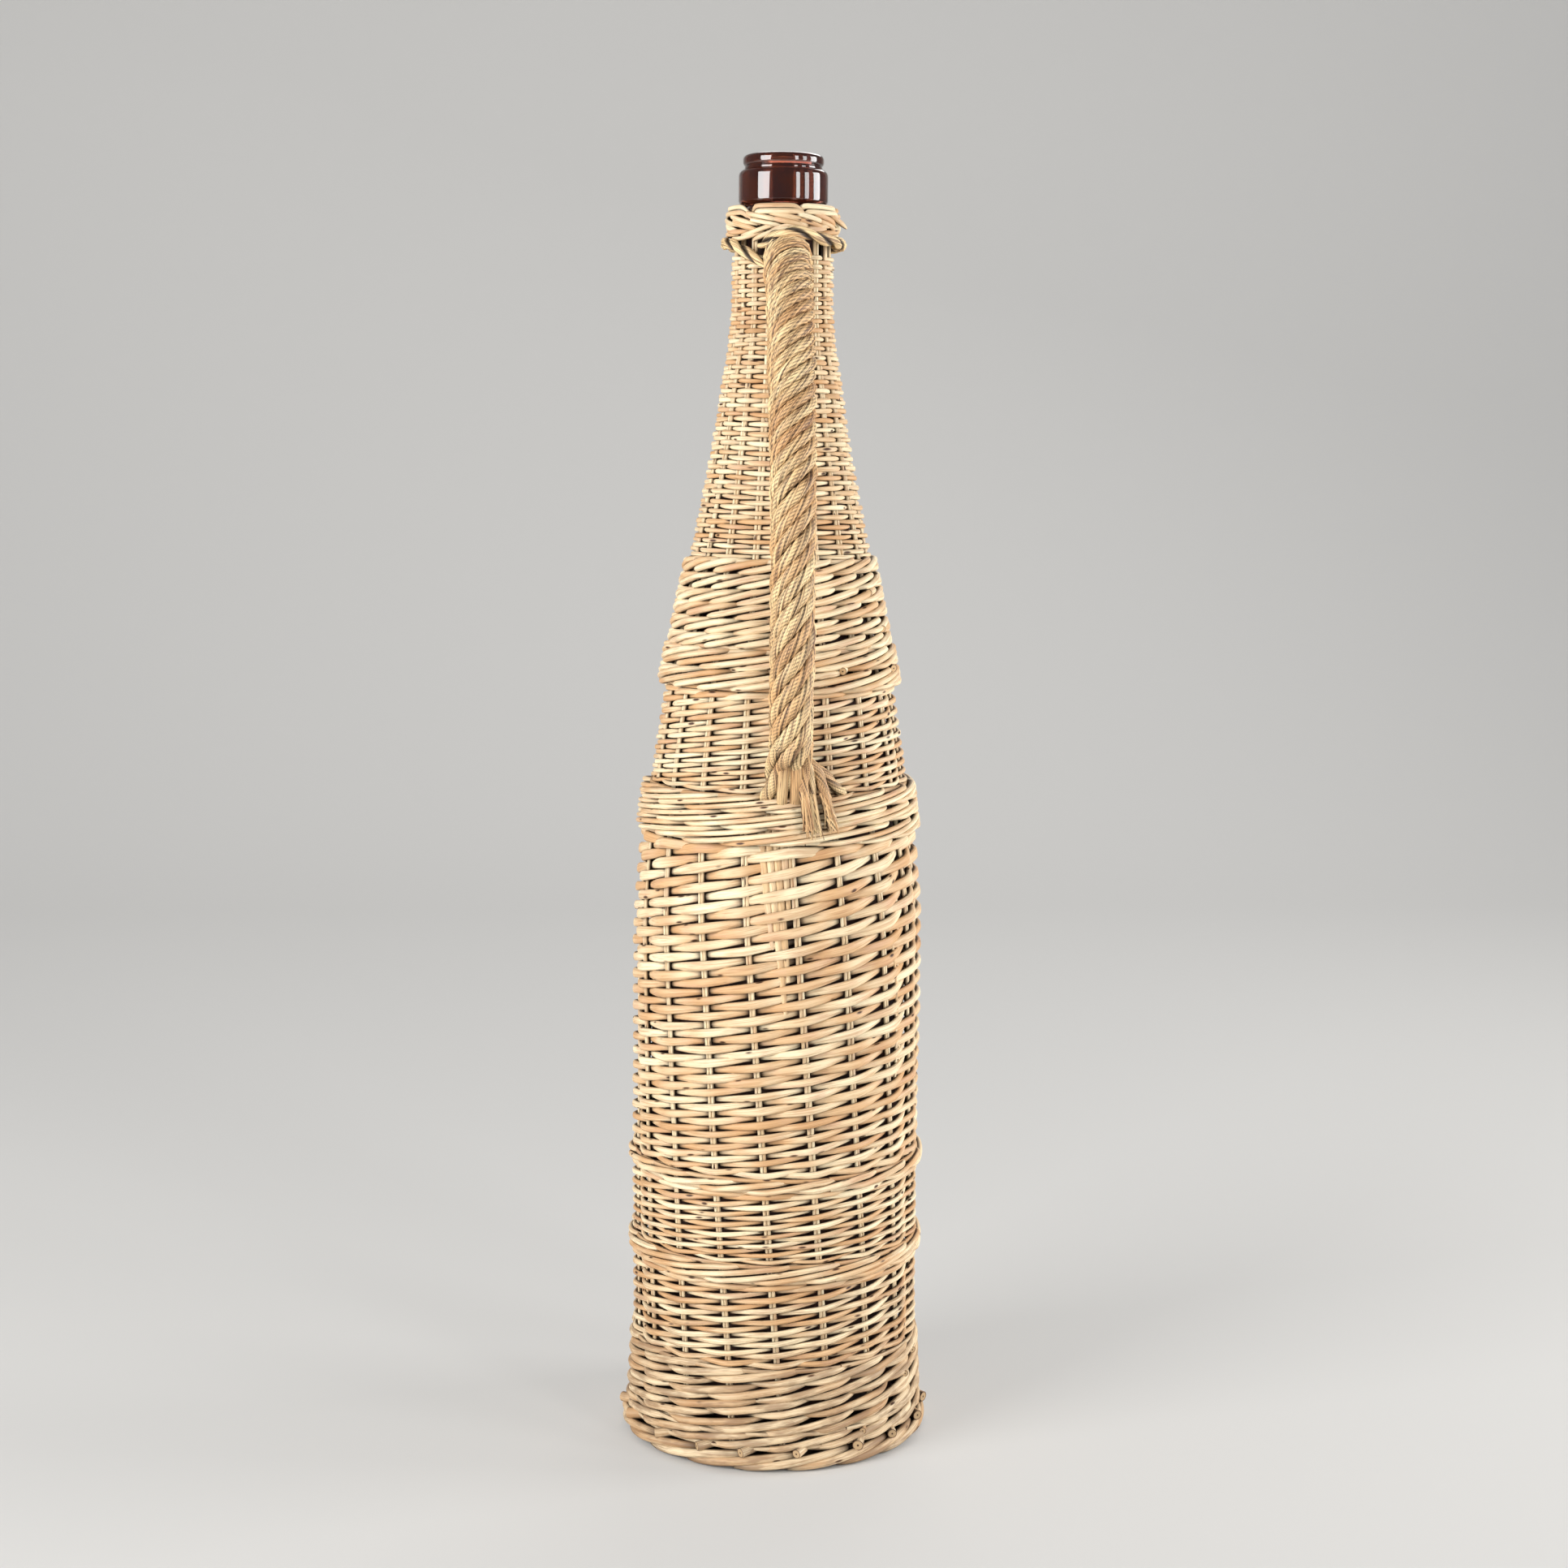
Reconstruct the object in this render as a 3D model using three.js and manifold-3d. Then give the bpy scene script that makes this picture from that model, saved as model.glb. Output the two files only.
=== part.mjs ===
// A tall wine bottle of dark glass in a close-fitting willow basket, with a roped handle on the front.
// The basket is built as a basket maker builds it: a cross of base sticks in a woven base, eighteen
// uprights that follow the glass, woven zones and heavier waled bands round them, a foot border below,
// a neck border above, and a handle of seven willow strands roped round a bow and looped to the neck.
// Millimetres, +Z up, standing on Z = 0. The handle faces -Y.
import * as THREE from "three";
import { mergeVertices } from "three/addons/utils/BufferGeometryUtils.js";
import Module from "manifold-3d";

const wasm = await Module();
wasm.setup();

// Clearance between two pieces that lie against each other
const clearance = 0.3;

// Glass bottle
const glassBodyRadius = 90;
const glassNeckRadius = 25;
const glassWall = 3.5;
const glassFloor = 7;
const heelRadius = 14;
const puntHeight = 5; // hollow under the glass
const straightHeight = 355; // from the glass's foot to the start of its shoulder
const shoulderHeight = 420;
const neckHeight = 73.4; // from the shoulder to the collar
const collarRadius = 31;
const collarHeight = 25;
const collarRound = 3.5;
const lipRadius = 28.3;
const lipHeight = 10;
const lipRound = 2.5;
// The shoulder's outline: the rise up the shoulder, and how much of the step from neck to body is left.
const shoulderRiseShares = [0, 0.12, 0.3, 0.5, 0.7, 0.85, 1];
const shoulderRadiusShares = [1, 0.93, 0.775, 0.56, 0.29, 0.115, 0];

// Uprights and base
const uprightCount = 18;
const uprightDiameter = 5.5;
const uprightTwistDegrees = 20; // how far the uprights turn round the bottle below the handle's foot
const baseThickness = 10;
const baseStickThickness = 4;
const baseStickWidth = 6;
const baseStickGap = 1.2; // between neighbouring sticks
const sticksEachWay = 4;
const stickEndCover = 6; // weave left past the ends of the sticks
const slathRadius = 22; // the bare cross in the middle of the base

// Woven zones, from the floor up. A thickness is measured out from the uprights.
const footBorderHeight = 14;
const footBorderOverhang = 6.44; // how far the border stands out past the foot wale
const footBorderLap = 4; // how far it reaches in under the base
const borderBevel = 2.6;
const footWaleHeight = 58;
const footWaleRows = 5;
const footWaleThickness = 9.1;
const footFlare = 3; // how much thicker the lowest foot row is
const lowRandHeight = 61;
const lowBandHeight = 14;
const midRandHeight = 51;
const midBandHeight = 10;
const thinBandRows = 2;
const thinBandThickness = 10.4;
const bodyRandThickness = 7.6;
const shoulderBandRise = 60; // from the start of the glass's shoulder up to the shoulder band
const shoulderBandHeight = 34;
const shoulderBandRows = 4;
const shoulderBandThickness = 11.4;
const waistRandHeight = 69;
const waistBandHeight = 28;
const waistBandRows = 3;
const waistBandThickness = 11.1;
const shoulderWaleHeight = 61;
const shoulderWaleRows = 6;
const shoulderWaleThickness = 9;
const upperRandThickness = 5.8;
const neckRandLead = 32; // how far below the glass's neck the finest weave starts
const neckRandThickness = 4.8;
const rowRelief = 2.2; // how deep the groove between two waled rows is
const strokeReliefShare = 0.5; // of a rand's thickness, how far a weaver stands out in front of an upright
// Weavers that cross an upright one above the other, in front of it and behind it by turns
const lowRandRows = 16;
const midRandRows = 16;
const bodyRandRows = 42;
const waistRandRows = 20;
// A zone's lowest row, of the height of its highest
const lowRowShare = 0.94;
const midRowShare = 0.7;
const bodyRowShare = 0.58;
const waistRowShare = 0.72;
const bareUprights = 5; // uprights left bare under the loop

// Neck
const neckBorderHeight = 21;
const neckBorderWidth = 15.2;
const loopDiameter = 7.6;
const loopOverhang = 2.8; // how far the loop stands out past the neck border

// Handle
const bowDiameter = 15.6; // the rods under the roping
const strandCount = 7;
const layDegrees = 45; // how far the strands slant across the bow
const strandRoomShare = 0.93; // of the room between strands, what is left inside the bow's bend
const strandTopGap = 8; // from the bow's top end to where the roping starts
const strandFootGap = 18; // and from its foot to where the roping stops
const handleLeaveDegrees = 59; // the bow's slope off the bottle at its top end
const handleLandDegrees = 24; // and at its foot
const handleTopPull = 102; // how far the bow holds each of these slopes
const handleFootPull = 96;
const tailCount = 3; // strands whose ends lie over the shoulder band
const tailGap = 1.6;
const tailDrop = 26; // below the top of the shoulder band
const tailAngleDegrees = 50; // where round the bow the first of them leaves it
const linerCount = 4; // thin rods pushed down inside the weave below the handle's foot
const linerDiameter = 4.2;
const linerLength = 150;
const linerLengthShares = [0.7, 1, 0.85, 0.55];
const linerSpreadShare = 0.7; // of the room between two uprights
const rodStep = 85; // the longest straight step of a rod that follows the glass

// Facets
const facets = 2 * uprightCount; // round the bottle
const rodSides = 5;
const shoulderSteps = 10;
const roundSteps = 2;
const heelSteps = 3;
const strandStepsPerTurn = 8;
const bowSides = 8;
const bowSteps = 24;
const loopSides = 7;

const quarter = Math.PI / 2;
const turn = 4 * quarter;
const degree = turn / 360;

// Heights that follow from the sizes
const baseBottom = footBorderHeight + clearance;
const glassBottom = baseBottom + baseThickness + clearance;
const shoulderBottom = glassBottom + straightHeight;
const neckBottom = shoulderBottom + shoulderHeight;
const collarBottom = neckBottom + neckHeight;
const lipBottom = collarBottom + collarHeight;
const glassTop = lipBottom + lipHeight;
const neckBorderTop = collarBottom - clearance;
const neckBorderBottom = neckBorderTop - neckBorderHeight;
const loopTop = neckBorderBottom - clearance;
const loopBottom = loopTop - loopDiameter;
const neckRandTop = loopBottom - bareUprights;
const uprightTop = neckBorderBottom - clearance;
const uprightOutside = clearance + uprightDiameter; // from the glass to the outside of the uprights
const facetSag = (glassBodyRadius + uprightDiameter) * (1 - Math.cos(turn / 2 / facets));
const basketInside = uprightOutside + clearance + facetSag; // from the glass to the weave

const willow = (color, roughness = 0.7) => new THREE.MeshStandardMaterial({ color, roughness, metalness: 0 });
const materials = {
  glass: new THREE.MeshStandardMaterial({ color: 0x3a120c, roughness: 0.06, metalness: 0 }),
  upright: willow(0xcaa672),
  rand: willow(0xd9b57c),
  wale: willow(0xd3ab70),
  border: willow(0xcda469),
  base: willow(0xb98f58),
  rope: willow(0xc99a5c, 0.75),
};

const part = new THREE.Group();
const bottle = new THREE.Group();
part.add(bottle);

function addPiece(name, geometry, material) {
  const mesh = new THREE.Mesh(geometry, material);
  mesh.name = name;
  bottle.add(mesh);
}

// Outline of the glass
const shoulderCurve = new THREE.SplineCurve(
  shoulderRiseShares.map(
    (rise, i) =>
      new THREE.Vector2(
        glassNeckRadius + (glassBodyRadius - glassNeckRadius) * shoulderRadiusShares[i],
        shoulderBottom + shoulderHeight * rise,
      ),
  ),
);
// Corners of the glass's outside from its heel to its collar. All that lies on the glass shares them.
const glassCorners = [
  new THREE.Vector2(glassBodyRadius, glassBottom + heelRadius),
  ...shoulderCurve.getPoints(shoulderSteps),
  new THREE.Vector2(glassNeckRadius, collarBottom),
];

function segmentAt(z) {
  let i = 0;
  while (i < glassCorners.length - 2 && z > glassCorners[i + 1].y) i += 1;
  return [glassCorners[i], glassCorners[i + 1]];
}

// Radius of a surface that lies a distance off the glass, at a height.
function coverRadius(z, distance) {
  const [low, high] = segmentAt(z);
  const rise = high.y - low.y;
  const radius = low.x + ((high.x - low.x) * (z - low.y)) / rise;
  return radius + (distance * Math.hypot(rise, high.x - low.x)) / rise;
}

// Heights of the glass's corners between two heights, with both ends.
function stationsBetween(bottom, top) {
  const heights = glassCorners.map((corner) => corner.y);
  return [bottom, ...heights.filter((z) => z > bottom + clearance && z < top - clearance), top];
}

// Points on an arc of an outline, from one angle to another. Angle 0 points away from the axis.
function arc(middleRadius, middleHeight, radius, from, to, steps) {
  const points = [];
  for (let i = 0; i <= steps; i += 1) {
    const angle = from + ((to - from) * i) / steps;
    points.push([middleRadius + radius * Math.cos(angle), middleHeight + radius * Math.sin(angle)]);
  }
  return points;
}

// An outline of (radius, height) points turned round the bottle's axis.
function turned(points) {
  const outline = points.map(([radius, height]) => new THREE.Vector2(radius, height));
  return new THREE.LatheGeometry(outline, facets).rotateX(quarter);
}

const turnedRing = (points) => turned([...points, points[0]]);

// A point round the axis. Angle 0 faces the handle.
function around(radius, angle, z) {
  return new THREE.Vector3(radius * Math.sin(angle), -radius * Math.cos(angle), z);
}

// A path whose steps fall on the points it is given.
class StationCurve extends THREE.Curve {
  constructor(points) {
    super();
    this.points = points;
  }
  getPoint(t, target = new THREE.Vector3()) {
    const place = Math.min(t, 1) * (this.points.length - 1);
    const i = Math.min(Math.floor(place), this.points.length - 2);
    return target.copy(this.points[i]).lerp(this.points[i + 1], place - i);
  }
  getPointAt(u, target) {
    return this.getPoint(u, target);
  }
  getTangentAt(u, target) {
    return this.getTangent(u, target);
  }
}

function rodAlong(extrudePath, steps, diameter, sides) {
  const corners = arc(0, 0, diameter / 2, 0, turn, sides).slice(1);
  const section = new THREE.Shape(corners.map(([x, y]) => new THREE.Vector2(x, y)));
  return new THREE.ExtrudeGeometry(section, { steps, extrudePath });
}

const rod = (points, diameter) => rodAlong(new StationCurve(points), points.length - 1, diameter, rodSides);

// Solids that are cut
function solidOf(geometry) {
  const bare = geometry.clone();
  bare.deleteAttribute("normal");
  bare.deleteAttribute("uv");
  const merged = mergeVertices(bare, clearance / 100);
  const vertProperties = merged.attributes.position.array;
  const triVerts = new Uint32Array(merged.index.array);
  return new wasm.Manifold(new wasm.Mesh({ numProp: 3, vertProperties, triVerts }));
}

function geometryOf(solid) {
  const mesh = solid.getMesh();
  const geometry = new THREE.BufferGeometry();
  geometry.setAttribute("position", new THREE.BufferAttribute(mesh.vertProperties, 3));
  geometry.setIndex(new THREE.BufferAttribute(mesh.triVerts, 1));
  geometry.computeVertexNormals();
  return geometry;
}

// Glass bottle: the outside from the punt up to the mouth, then the inside back down to the floor
function glassOutline() {
  const innerFloor = glassBottom + puntHeight + glassFloor;
  const innerHeel = heelRadius - glassWall;
  const innerBodyRadius = glassBodyRadius - glassWall;
  const boreRadius = glassNeckRadius - glassWall;
  const insideHeights = stationsBetween(innerFloor + innerHeel, neckBottom).reverse();
  return [
    [0, glassBottom + puntHeight],
    [glassBodyRadius - 2 * heelRadius, glassBottom + puntHeight],
    ...arc(glassBodyRadius - heelRadius, glassBottom + heelRadius, heelRadius, -quarter, 0, heelSteps),
    ...glassCorners.slice(1).map((corner) => [corner.x, corner.y]),
    ...arc(collarRadius - collarRound, collarBottom + collarRound, collarRound, -quarter, 0, roundSteps),
    ...arc(collarRadius - collarRound, lipBottom - collarRound, collarRound, 0, quarter, roundSteps),
    ...arc(lipRadius - lipRound, glassTop - lipRound, lipRound, 0, quarter, roundSteps),
    ...arc(boreRadius + lipRound, glassTop - lipRound, lipRound, quarter, 2 * quarter, roundSteps),
    ...insideHeights.map((z) => [coverRadius(z, -glassWall), z]),
    ...arc(innerBodyRadius - innerHeel, innerFloor + innerHeel, innerHeel, 0, -quarter, heelSteps).slice(1),
    [0, innerFloor],
  ];
}
addPiece("glass_bottle", turned(glassOutline()), materials.glass);

// Uprights: one rod each, from the foot border to the neck border, lying on the glass. The first one's top
// is behind the handle. Below the handle's foot they lean, so each turns round the bottle on its way down.
const twistTop = shoulderBottom + shoulderBandRise + shoulderBandHeight;

// Where a rod lies round the bottle at a height. A place counts uprights from the first.
function placeAngle(place, z) {
  const lean = Math.max(twistTop - z, 0) / (twistTop - baseBottom);
  return (turn * place) / uprightCount + uprightTwistDegrees * degree * lean;
}

// A rod between the glass and the weave, in steps short enough to follow the glass round
function hiddenRod(place, bottom, top, diameter) {
  const stations = stationsBetween(bottom, top);
  const offset = uprightOutside - diameter / 2;
  const route = [];
  for (let i = 1; i < stations.length; i += 1) {
    const rise = stations[i] - stations[i - 1];
    const steps = Math.ceil(rise / rodStep);
    for (let j = i === 1 ? 0 : 1; j <= steps; j += 1) {
      const z = stations[i - 1] + (rise * j) / steps;
      route.push(around(coverRadius(z, offset), placeAngle(place, z), z));
    }
  }
  return rod(route, diameter);
}

for (let k = 0; k < uprightCount; k += 1) {
  addPiece(`upright_${k + 1}`, hiddenRod(k, baseBottom, uprightTop, uprightDiameter), materials.upright);
}

// Base: sticks that cross in the middle, in a woven ring with a groove for each
const stickPitch = baseStickWidth + baseStickGap;
const stickPairThickness = 2 * baseStickThickness + clearance;
const stickBottom = baseBottom + (baseThickness - stickPairThickness) / 2;

function baseStick(row, i, grow) {
  const side = (i - (sticksEachWay - 1) / 2) * stickPitch;
  const reach = Math.sqrt(glassBodyRadius ** 2 - (Math.abs(side) + baseStickWidth / 2) ** 2) - stickEndCover;
  const z = stickBottom + baseStickThickness / 2 + row * (baseStickThickness + clearance);
  const sizes = [2 * reach, baseStickWidth, baseStickThickness].map((size) => size + 2 * grow);
  return new THREE.BoxGeometry(...sizes).translate(0, side, z).rotateZ(row * quarter);
}

let base = solidOf(
  turnedRing([
    [slathRadius, baseBottom],
    [glassBodyRadius, baseBottom],
    [glassBodyRadius, baseBottom + baseThickness],
    [slathRadius, baseBottom + baseThickness],
  ]),
);
["lower", "upper"].forEach((label, row) => {
  for (let i = 0; i < sticksEachWay; i += 1) {
    addPiece(`base_stick_${label}_${i + 1}`, baseStick(row, i, 0), materials.base);
    base = base.subtract(solidOf(baseStick(row, i, clearance)));
  }
});
addPiece("base_weave", geometryOf(base), materials.base);

// Woven zones: rings round the uprights, one on the other. The heights are the corners of the outside.
function zone(name, bottom, top, heights, thicknessAt, material) {
  const low = bottom + clearance / 2;
  const high = top - clearance / 2;
  const outside = heights.map((height) => {
    const z = Math.min(Math.max(height, low), high);
    return [coverRadius(z, basketInside + thicknessAt(z)), z];
  });
  const inside = stationsBetween(low, high).map((z) => [coverRadius(z, basketInside), z]);
  addPiece(name, turnedRing([...outside, ...inside.reverse()]), material);
}

function rand(name, bottom, top, thickness) {
  zone(name, bottom, top, stationsBetween(bottom, top), () => thickness, materials.rand);
}

// A rand with its weavers standing out where they pass in front of an upright, one row in two
function wovenRand(name, bottom, top, thickness, rows, rowShare) {
  const low = bottom + clearance / 2;
  const high = top - clearance / 2;
  const outline = [[0, low]];
  for (let row = 0; row <= rows; row += 1) {
    const share = row / rows;
    const rise = (rowShare * share + ((1 - rowShare) * share ** 2) / 2) / ((1 + rowShare) / 2);
    const z = low + (high - low) * rise;
    outline.push([coverRadius(z, basketInside + thickness), z]);
  }
  outline.push([0, high]);
  const relief = thickness * strokeReliefShare;
  const outside = turned(outline);
  const corners = outside.attributes.position;
  const corner = new THREE.Vector3();
  for (let i = 0; i < corners.count; i += 1) {
    corner.fromBufferAttribute(corners, i);
    const column = Math.floor(i / outline.length);
    const row = (i % outline.length) - 1;
    const standsOut = column % 2 === 0 && row % 2 === 1;
    const radius = Math.max(Math.hypot(corner.x, corner.y) - (standsOut ? 0 : relief), 0);
    corner.copy(around(radius, placeAngle((column * uprightCount) / facets, corner.z), corner.z));
    corners.setXYZ(i, corner.x, corner.y, corner.z);
  }
  const hollowHeights = stationsBetween(low - clearance, high + clearance);
  const hollow = turned([
    [0, low - clearance],
    ...hollowHeights.map((z) => [coverRadius(z, basketInside), z]),
    [0, high + clearance],
  ]);
  addPiece(name, geometryOf(solidOf(outside).subtract(solidOf(hollow))), materials.rand);
}

// A waled band: each row of rods swells out between two grooves.
function wale(name, bottom, top, rows, thickness, flare = 0) {
  const rowHeight = (top - bottom) / rows;
  const heights = [];
  for (let half = 0; half <= 2 * rows; half += 1) heights.push(bottom + (half * rowHeight) / 2);
  const thicknessAt = (z) => {
    const row = (z - bottom) / rowHeight;
    const groove = 1 - Math.abs(Math.sin(row * 2 * quarter));
    return thickness + flare * (1 - row / rows) - rowRelief * groove;
  };
  zone(name, bottom, top, heights, thicknessAt, materials.wale);
}

const footWaleBottom = footBorderHeight + clearance / 2;
const lowRandBottom = footWaleBottom + footWaleHeight;
const lowBandBottom = lowRandBottom + lowRandHeight;
const midRandBottom = lowBandBottom + lowBandHeight;
const midBandBottom = midRandBottom + midRandHeight;
const bodyRandBottom = midBandBottom + midBandHeight;
const shoulderBandBottom = shoulderBottom + shoulderBandRise;
const waistRandBottom = shoulderBandBottom + shoulderBandHeight;
const waistBandBottom = waistRandBottom + waistRandHeight;
const shoulderWaleBottom = waistBandBottom + waistBandHeight;
const upperRandBottom = shoulderWaleBottom + shoulderWaleHeight;
const neckRandBottom = neckBottom - neckRandLead;

wale("foot_wale", footWaleBottom, lowRandBottom, footWaleRows, footWaleThickness, footFlare);
wovenRand("low_rand", lowRandBottom, lowBandBottom, bodyRandThickness, lowRandRows, lowRowShare);
wale("low_band", lowBandBottom, midRandBottom, thinBandRows, thinBandThickness);
wovenRand("mid_rand", midRandBottom, midBandBottom, bodyRandThickness, midRandRows, midRowShare);
wale("mid_band", midBandBottom, bodyRandBottom, thinBandRows, thinBandThickness);
wovenRand("body_rand", bodyRandBottom, shoulderBandBottom, bodyRandThickness, bodyRandRows, bodyRowShare);
wale("shoulder_band", shoulderBandBottom, waistRandBottom, shoulderBandRows, shoulderBandThickness);
wovenRand("waist_rand", waistRandBottom, waistBandBottom, upperRandThickness, waistRandRows, waistRowShare);
wale("waist_band", waistBandBottom, shoulderWaleBottom, waistBandRows, waistBandThickness);
wale("shoulder_wale", shoulderWaleBottom, upperRandBottom, shoulderWaleRows, shoulderWaleThickness);
rand("upper_rand", upperRandBottom, neckRandBottom, upperRandThickness);
rand("neck_rand", neckRandBottom, neckRandTop, neckRandThickness);

// Borders, with their edges taken off
function border(name, inner, outer, bottom, top) {
  const outline = [
    [inner + borderBevel, bottom],
    [outer - borderBevel, bottom],
    [outer, bottom + borderBevel],
    [outer, top - borderBevel],
    [outer - borderBevel, top],
    [inner, top],
    [inner, bottom + borderBevel],
  ];
  addPiece(name, turnedRing(outline), materials.border);
}
const footBorderRadius = glassBodyRadius + basketInside + footWaleThickness + footBorderOverhang;
const neckBorderInner = glassNeckRadius + clearance;
const neckBorderRadius = neckBorderInner + neckBorderWidth;
border("foot_border", glassBodyRadius - footBorderLap, footBorderRadius, 0, footBorderHeight);
border("neck_border", neckBorderInner, neckBorderRadius, neckBorderBottom, neckBorderTop);

// The loop that ties the handle to the neck, one closed ring under the border
const loopRadius = neckBorderRadius + loopOverhang - loopDiameter / 2;
const loopMiddle = loopTop - loopDiameter / 2;
const loopSection = arc(loopRadius, loopMiddle, loopDiameter / 2, -quarter, turn - quarter, loopSides);
addPiece("neck_loop", turned(loopSection), materials.rope);

// Handle: a bow from the neck to the shoulder band, in the plane X = 0
const outward = (distance, z) => new THREE.Vector3(0, -distance, z);
const leave = handleLeaveDegrees * degree;
const land = handleLandDegrees * degree;
const bowRadius = bowDiameter / 2;
const neckOutside = coverRadius(neckRandTop, basketInside + neckRandThickness);
const bowTop = outward(
  neckOutside + clearance + bowRadius * Math.cos(leave),
  loopBottom - clearance - bowRadius * Math.sin(leave),
);
const bowFootHeight = waistRandBottom + clearance + bowRadius * Math.sin(land);
const bowFoot = outward(
  coverRadius(bowFootHeight, basketInside + upperRandThickness + clearance) + bowRadius * Math.cos(land),
  bowFootHeight,
);
const bowCurve = new THREE.CubicBezierCurve3(
  bowTop,
  bowTop.clone().add(outward(handleTopPull * Math.sin(leave), -handleTopPull * Math.cos(leave))),
  bowFoot.clone().add(outward(handleFootPull * Math.sin(land), handleFootPull * Math.cos(land))),
  bowFoot,
);
addPiece("handle_bow", rodAlong(bowCurve, bowSteps, bowDiameter, bowSides), materials.rope);

// Strands roped round the bow, as thick as the room for each allows
const lay = layDegrees * degree;
const strandRoom = (strandRoomShare * Math.cos(lay) * turn) / strandCount; // for each millimetre of radius
const strandDiameter = (strandRoom * (bowRadius + clearance) - clearance) / (1 - strandRoom / 2);
// A strand's straight steps touch the circle that its middle follows, so its corners lie further out.
const strandRadius = (bowRadius + clearance + strandDiameter / 2) / Math.cos(turn / 2 / strandStepsPerTurn);
const bowLength = bowCurve.getLength();
const ropedLength = bowLength - strandTopGap - strandFootGap;
const woundAngle = (ropedLength * Math.tan(lay)) / strandRadius;
const strandSteps = Math.ceil((strandStepsPerTurn * woundAngle) / turn);
const sideways = new THREE.Vector3(1, 0, 0);

function onStrand(distance, angle) {
  const tangent = bowCurve.getTangentAt(distance / bowLength);
  const towardsBottle = new THREE.Vector3().crossVectors(sideways, tangent);
  return bowCurve
    .getPointAt(distance / bowLength)
    .addScaledVector(towardsBottle, strandRadius * Math.cos(angle))
    .addScaledVector(sideways, strandRadius * Math.sin(angle));
}

// The end of a strand that lies on, over the shoulder band
function tailRoute(order) {
  const side = bowRadius + tailGap + strandDiameter / 2 + order * (strandDiameter + tailGap);
  return [waistRandBottom, waistRandBottom - tailDrop].map((z) => {
    const radius = coverRadius(z, basketInside + shoulderBandThickness + clearance + strandDiameter / 2);
    return around(radius, side / radius, z);
  });
}

for (let k = 0; k < strandCount; k += 1) {
  const footAngle = tailAngleDegrees * degree + (turn * k) / strandCount;
  const route = [];
  for (let i = 0; i <= strandSteps; i += 1) {
    const share = i / strandSteps;
    route.push(onStrand(strandTopGap + ropedLength * share, footAngle - woundAngle * (1 - share)));
  }
  if (k < tailCount) route.push(...tailRoute(tailCount - 1 - k));
  addPiece(`handle_strand_${k + 1}`, rod(route, strandDiameter), materials.rope);
}

// Liners: thin rods beside the first upright, inside the weave below the handle's foot
for (let k = 0; k < linerCount; k += 1) {
  const place = ((k + 0.5) / linerCount - 0.5) * linerSpreadShare - 0.5;
  const bottom = waistRandBottom - linerLength * linerLengthShares[k];
  const liner = hiddenRod(place, bottom, waistRandBottom, linerDiameter);
  addPiece(`handle_liner_${k + 1}`, liner, materials.upright);
}

// The frame's origin is midway between the handle's reach and the foot's back.
const handleReach = -new THREE.Box3().setFromObject(bottle).min.y;
bottle.position.y = (handleReach - footBorderRadius) / 2;

export default part;
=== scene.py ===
"""Looks of a tall wine bottle in a willow basket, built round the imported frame. Metres, +Z up.

The basket is woven again rod by rod in the place of the frame's plain zones. The handle faces -Y, and an
angle round the bottle is measured from it, towards +X. Stakes are counted round from the one behind the
handle.
"""
import logging
import math
from collections.abc import Callable
from dataclasses import dataclass
from enum import Enum

import bpy
import numpy as np
from mathutils import Matrix, Vector
from mathutils.bvhtree import BVHTree


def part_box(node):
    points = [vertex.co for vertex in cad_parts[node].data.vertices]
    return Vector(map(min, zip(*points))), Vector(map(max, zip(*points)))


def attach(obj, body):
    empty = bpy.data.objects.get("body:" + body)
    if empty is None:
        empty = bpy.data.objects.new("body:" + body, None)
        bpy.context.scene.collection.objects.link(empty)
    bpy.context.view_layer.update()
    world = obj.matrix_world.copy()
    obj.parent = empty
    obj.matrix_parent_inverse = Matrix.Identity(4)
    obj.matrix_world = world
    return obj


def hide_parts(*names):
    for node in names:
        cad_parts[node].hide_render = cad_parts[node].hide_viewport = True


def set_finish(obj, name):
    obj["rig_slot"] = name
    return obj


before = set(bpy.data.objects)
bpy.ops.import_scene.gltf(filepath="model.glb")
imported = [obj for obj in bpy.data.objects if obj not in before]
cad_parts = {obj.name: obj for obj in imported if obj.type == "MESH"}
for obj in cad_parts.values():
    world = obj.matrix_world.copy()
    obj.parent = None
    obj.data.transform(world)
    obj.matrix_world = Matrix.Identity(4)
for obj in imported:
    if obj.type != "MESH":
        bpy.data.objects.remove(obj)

log = logging.getLogger("wine_bottle")

MM = 0.001
TURN = 2 * math.pi
TINY = 1e-12  # keeps a length of nothing from being divided by
BODY = "root"  # the record's only body
STAKES = 18  # one behind the handle, and one every 20 degrees from there

Array = np.ndarray
Piece = bpy.types.Object
Socket = bpy.types.NodeSocket
Value = Socket | float
Inputs = dict[str | int, object]  # of a node: a value or a socket for each name or number
Pair = tuple[float, float]
Colour = tuple[int, int, int]  # red, green and blue, 0 to 255


class Slot(Enum):
    """Material slots of the record."""

    GLASS = "amber_glass"
    WILLOW = "willow"
    UPRIGHT = "upright_willow"
    HANDLE = "handle_willow"
    FOOT = "foot_willow"
    BASE = "base_willow"


# Numbers along a rod


def smoothed(values: Array, width: int) -> Array:
    """Rounds the corners of a row of samples.

    Args:
        values: evenly spaced samples.
        width: how many samples to each side are averaged.

    Returns:
        The samples with their corners rounded.
    """
    kernel = np.hanning(2 * width + 3)[1:-1]
    padded = np.concatenate([np.full(width, values[0]), values, np.full(width, values[-1])])
    return np.convolve(padded, kernel / kernel.sum(), mode="valid")


def unit(vectors: Array) -> Array:
    """Returns rows of vectors at length 1."""
    return vectors / np.maximum(np.linalg.norm(vectors, axis=1, keepdims=True), TINY)


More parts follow.
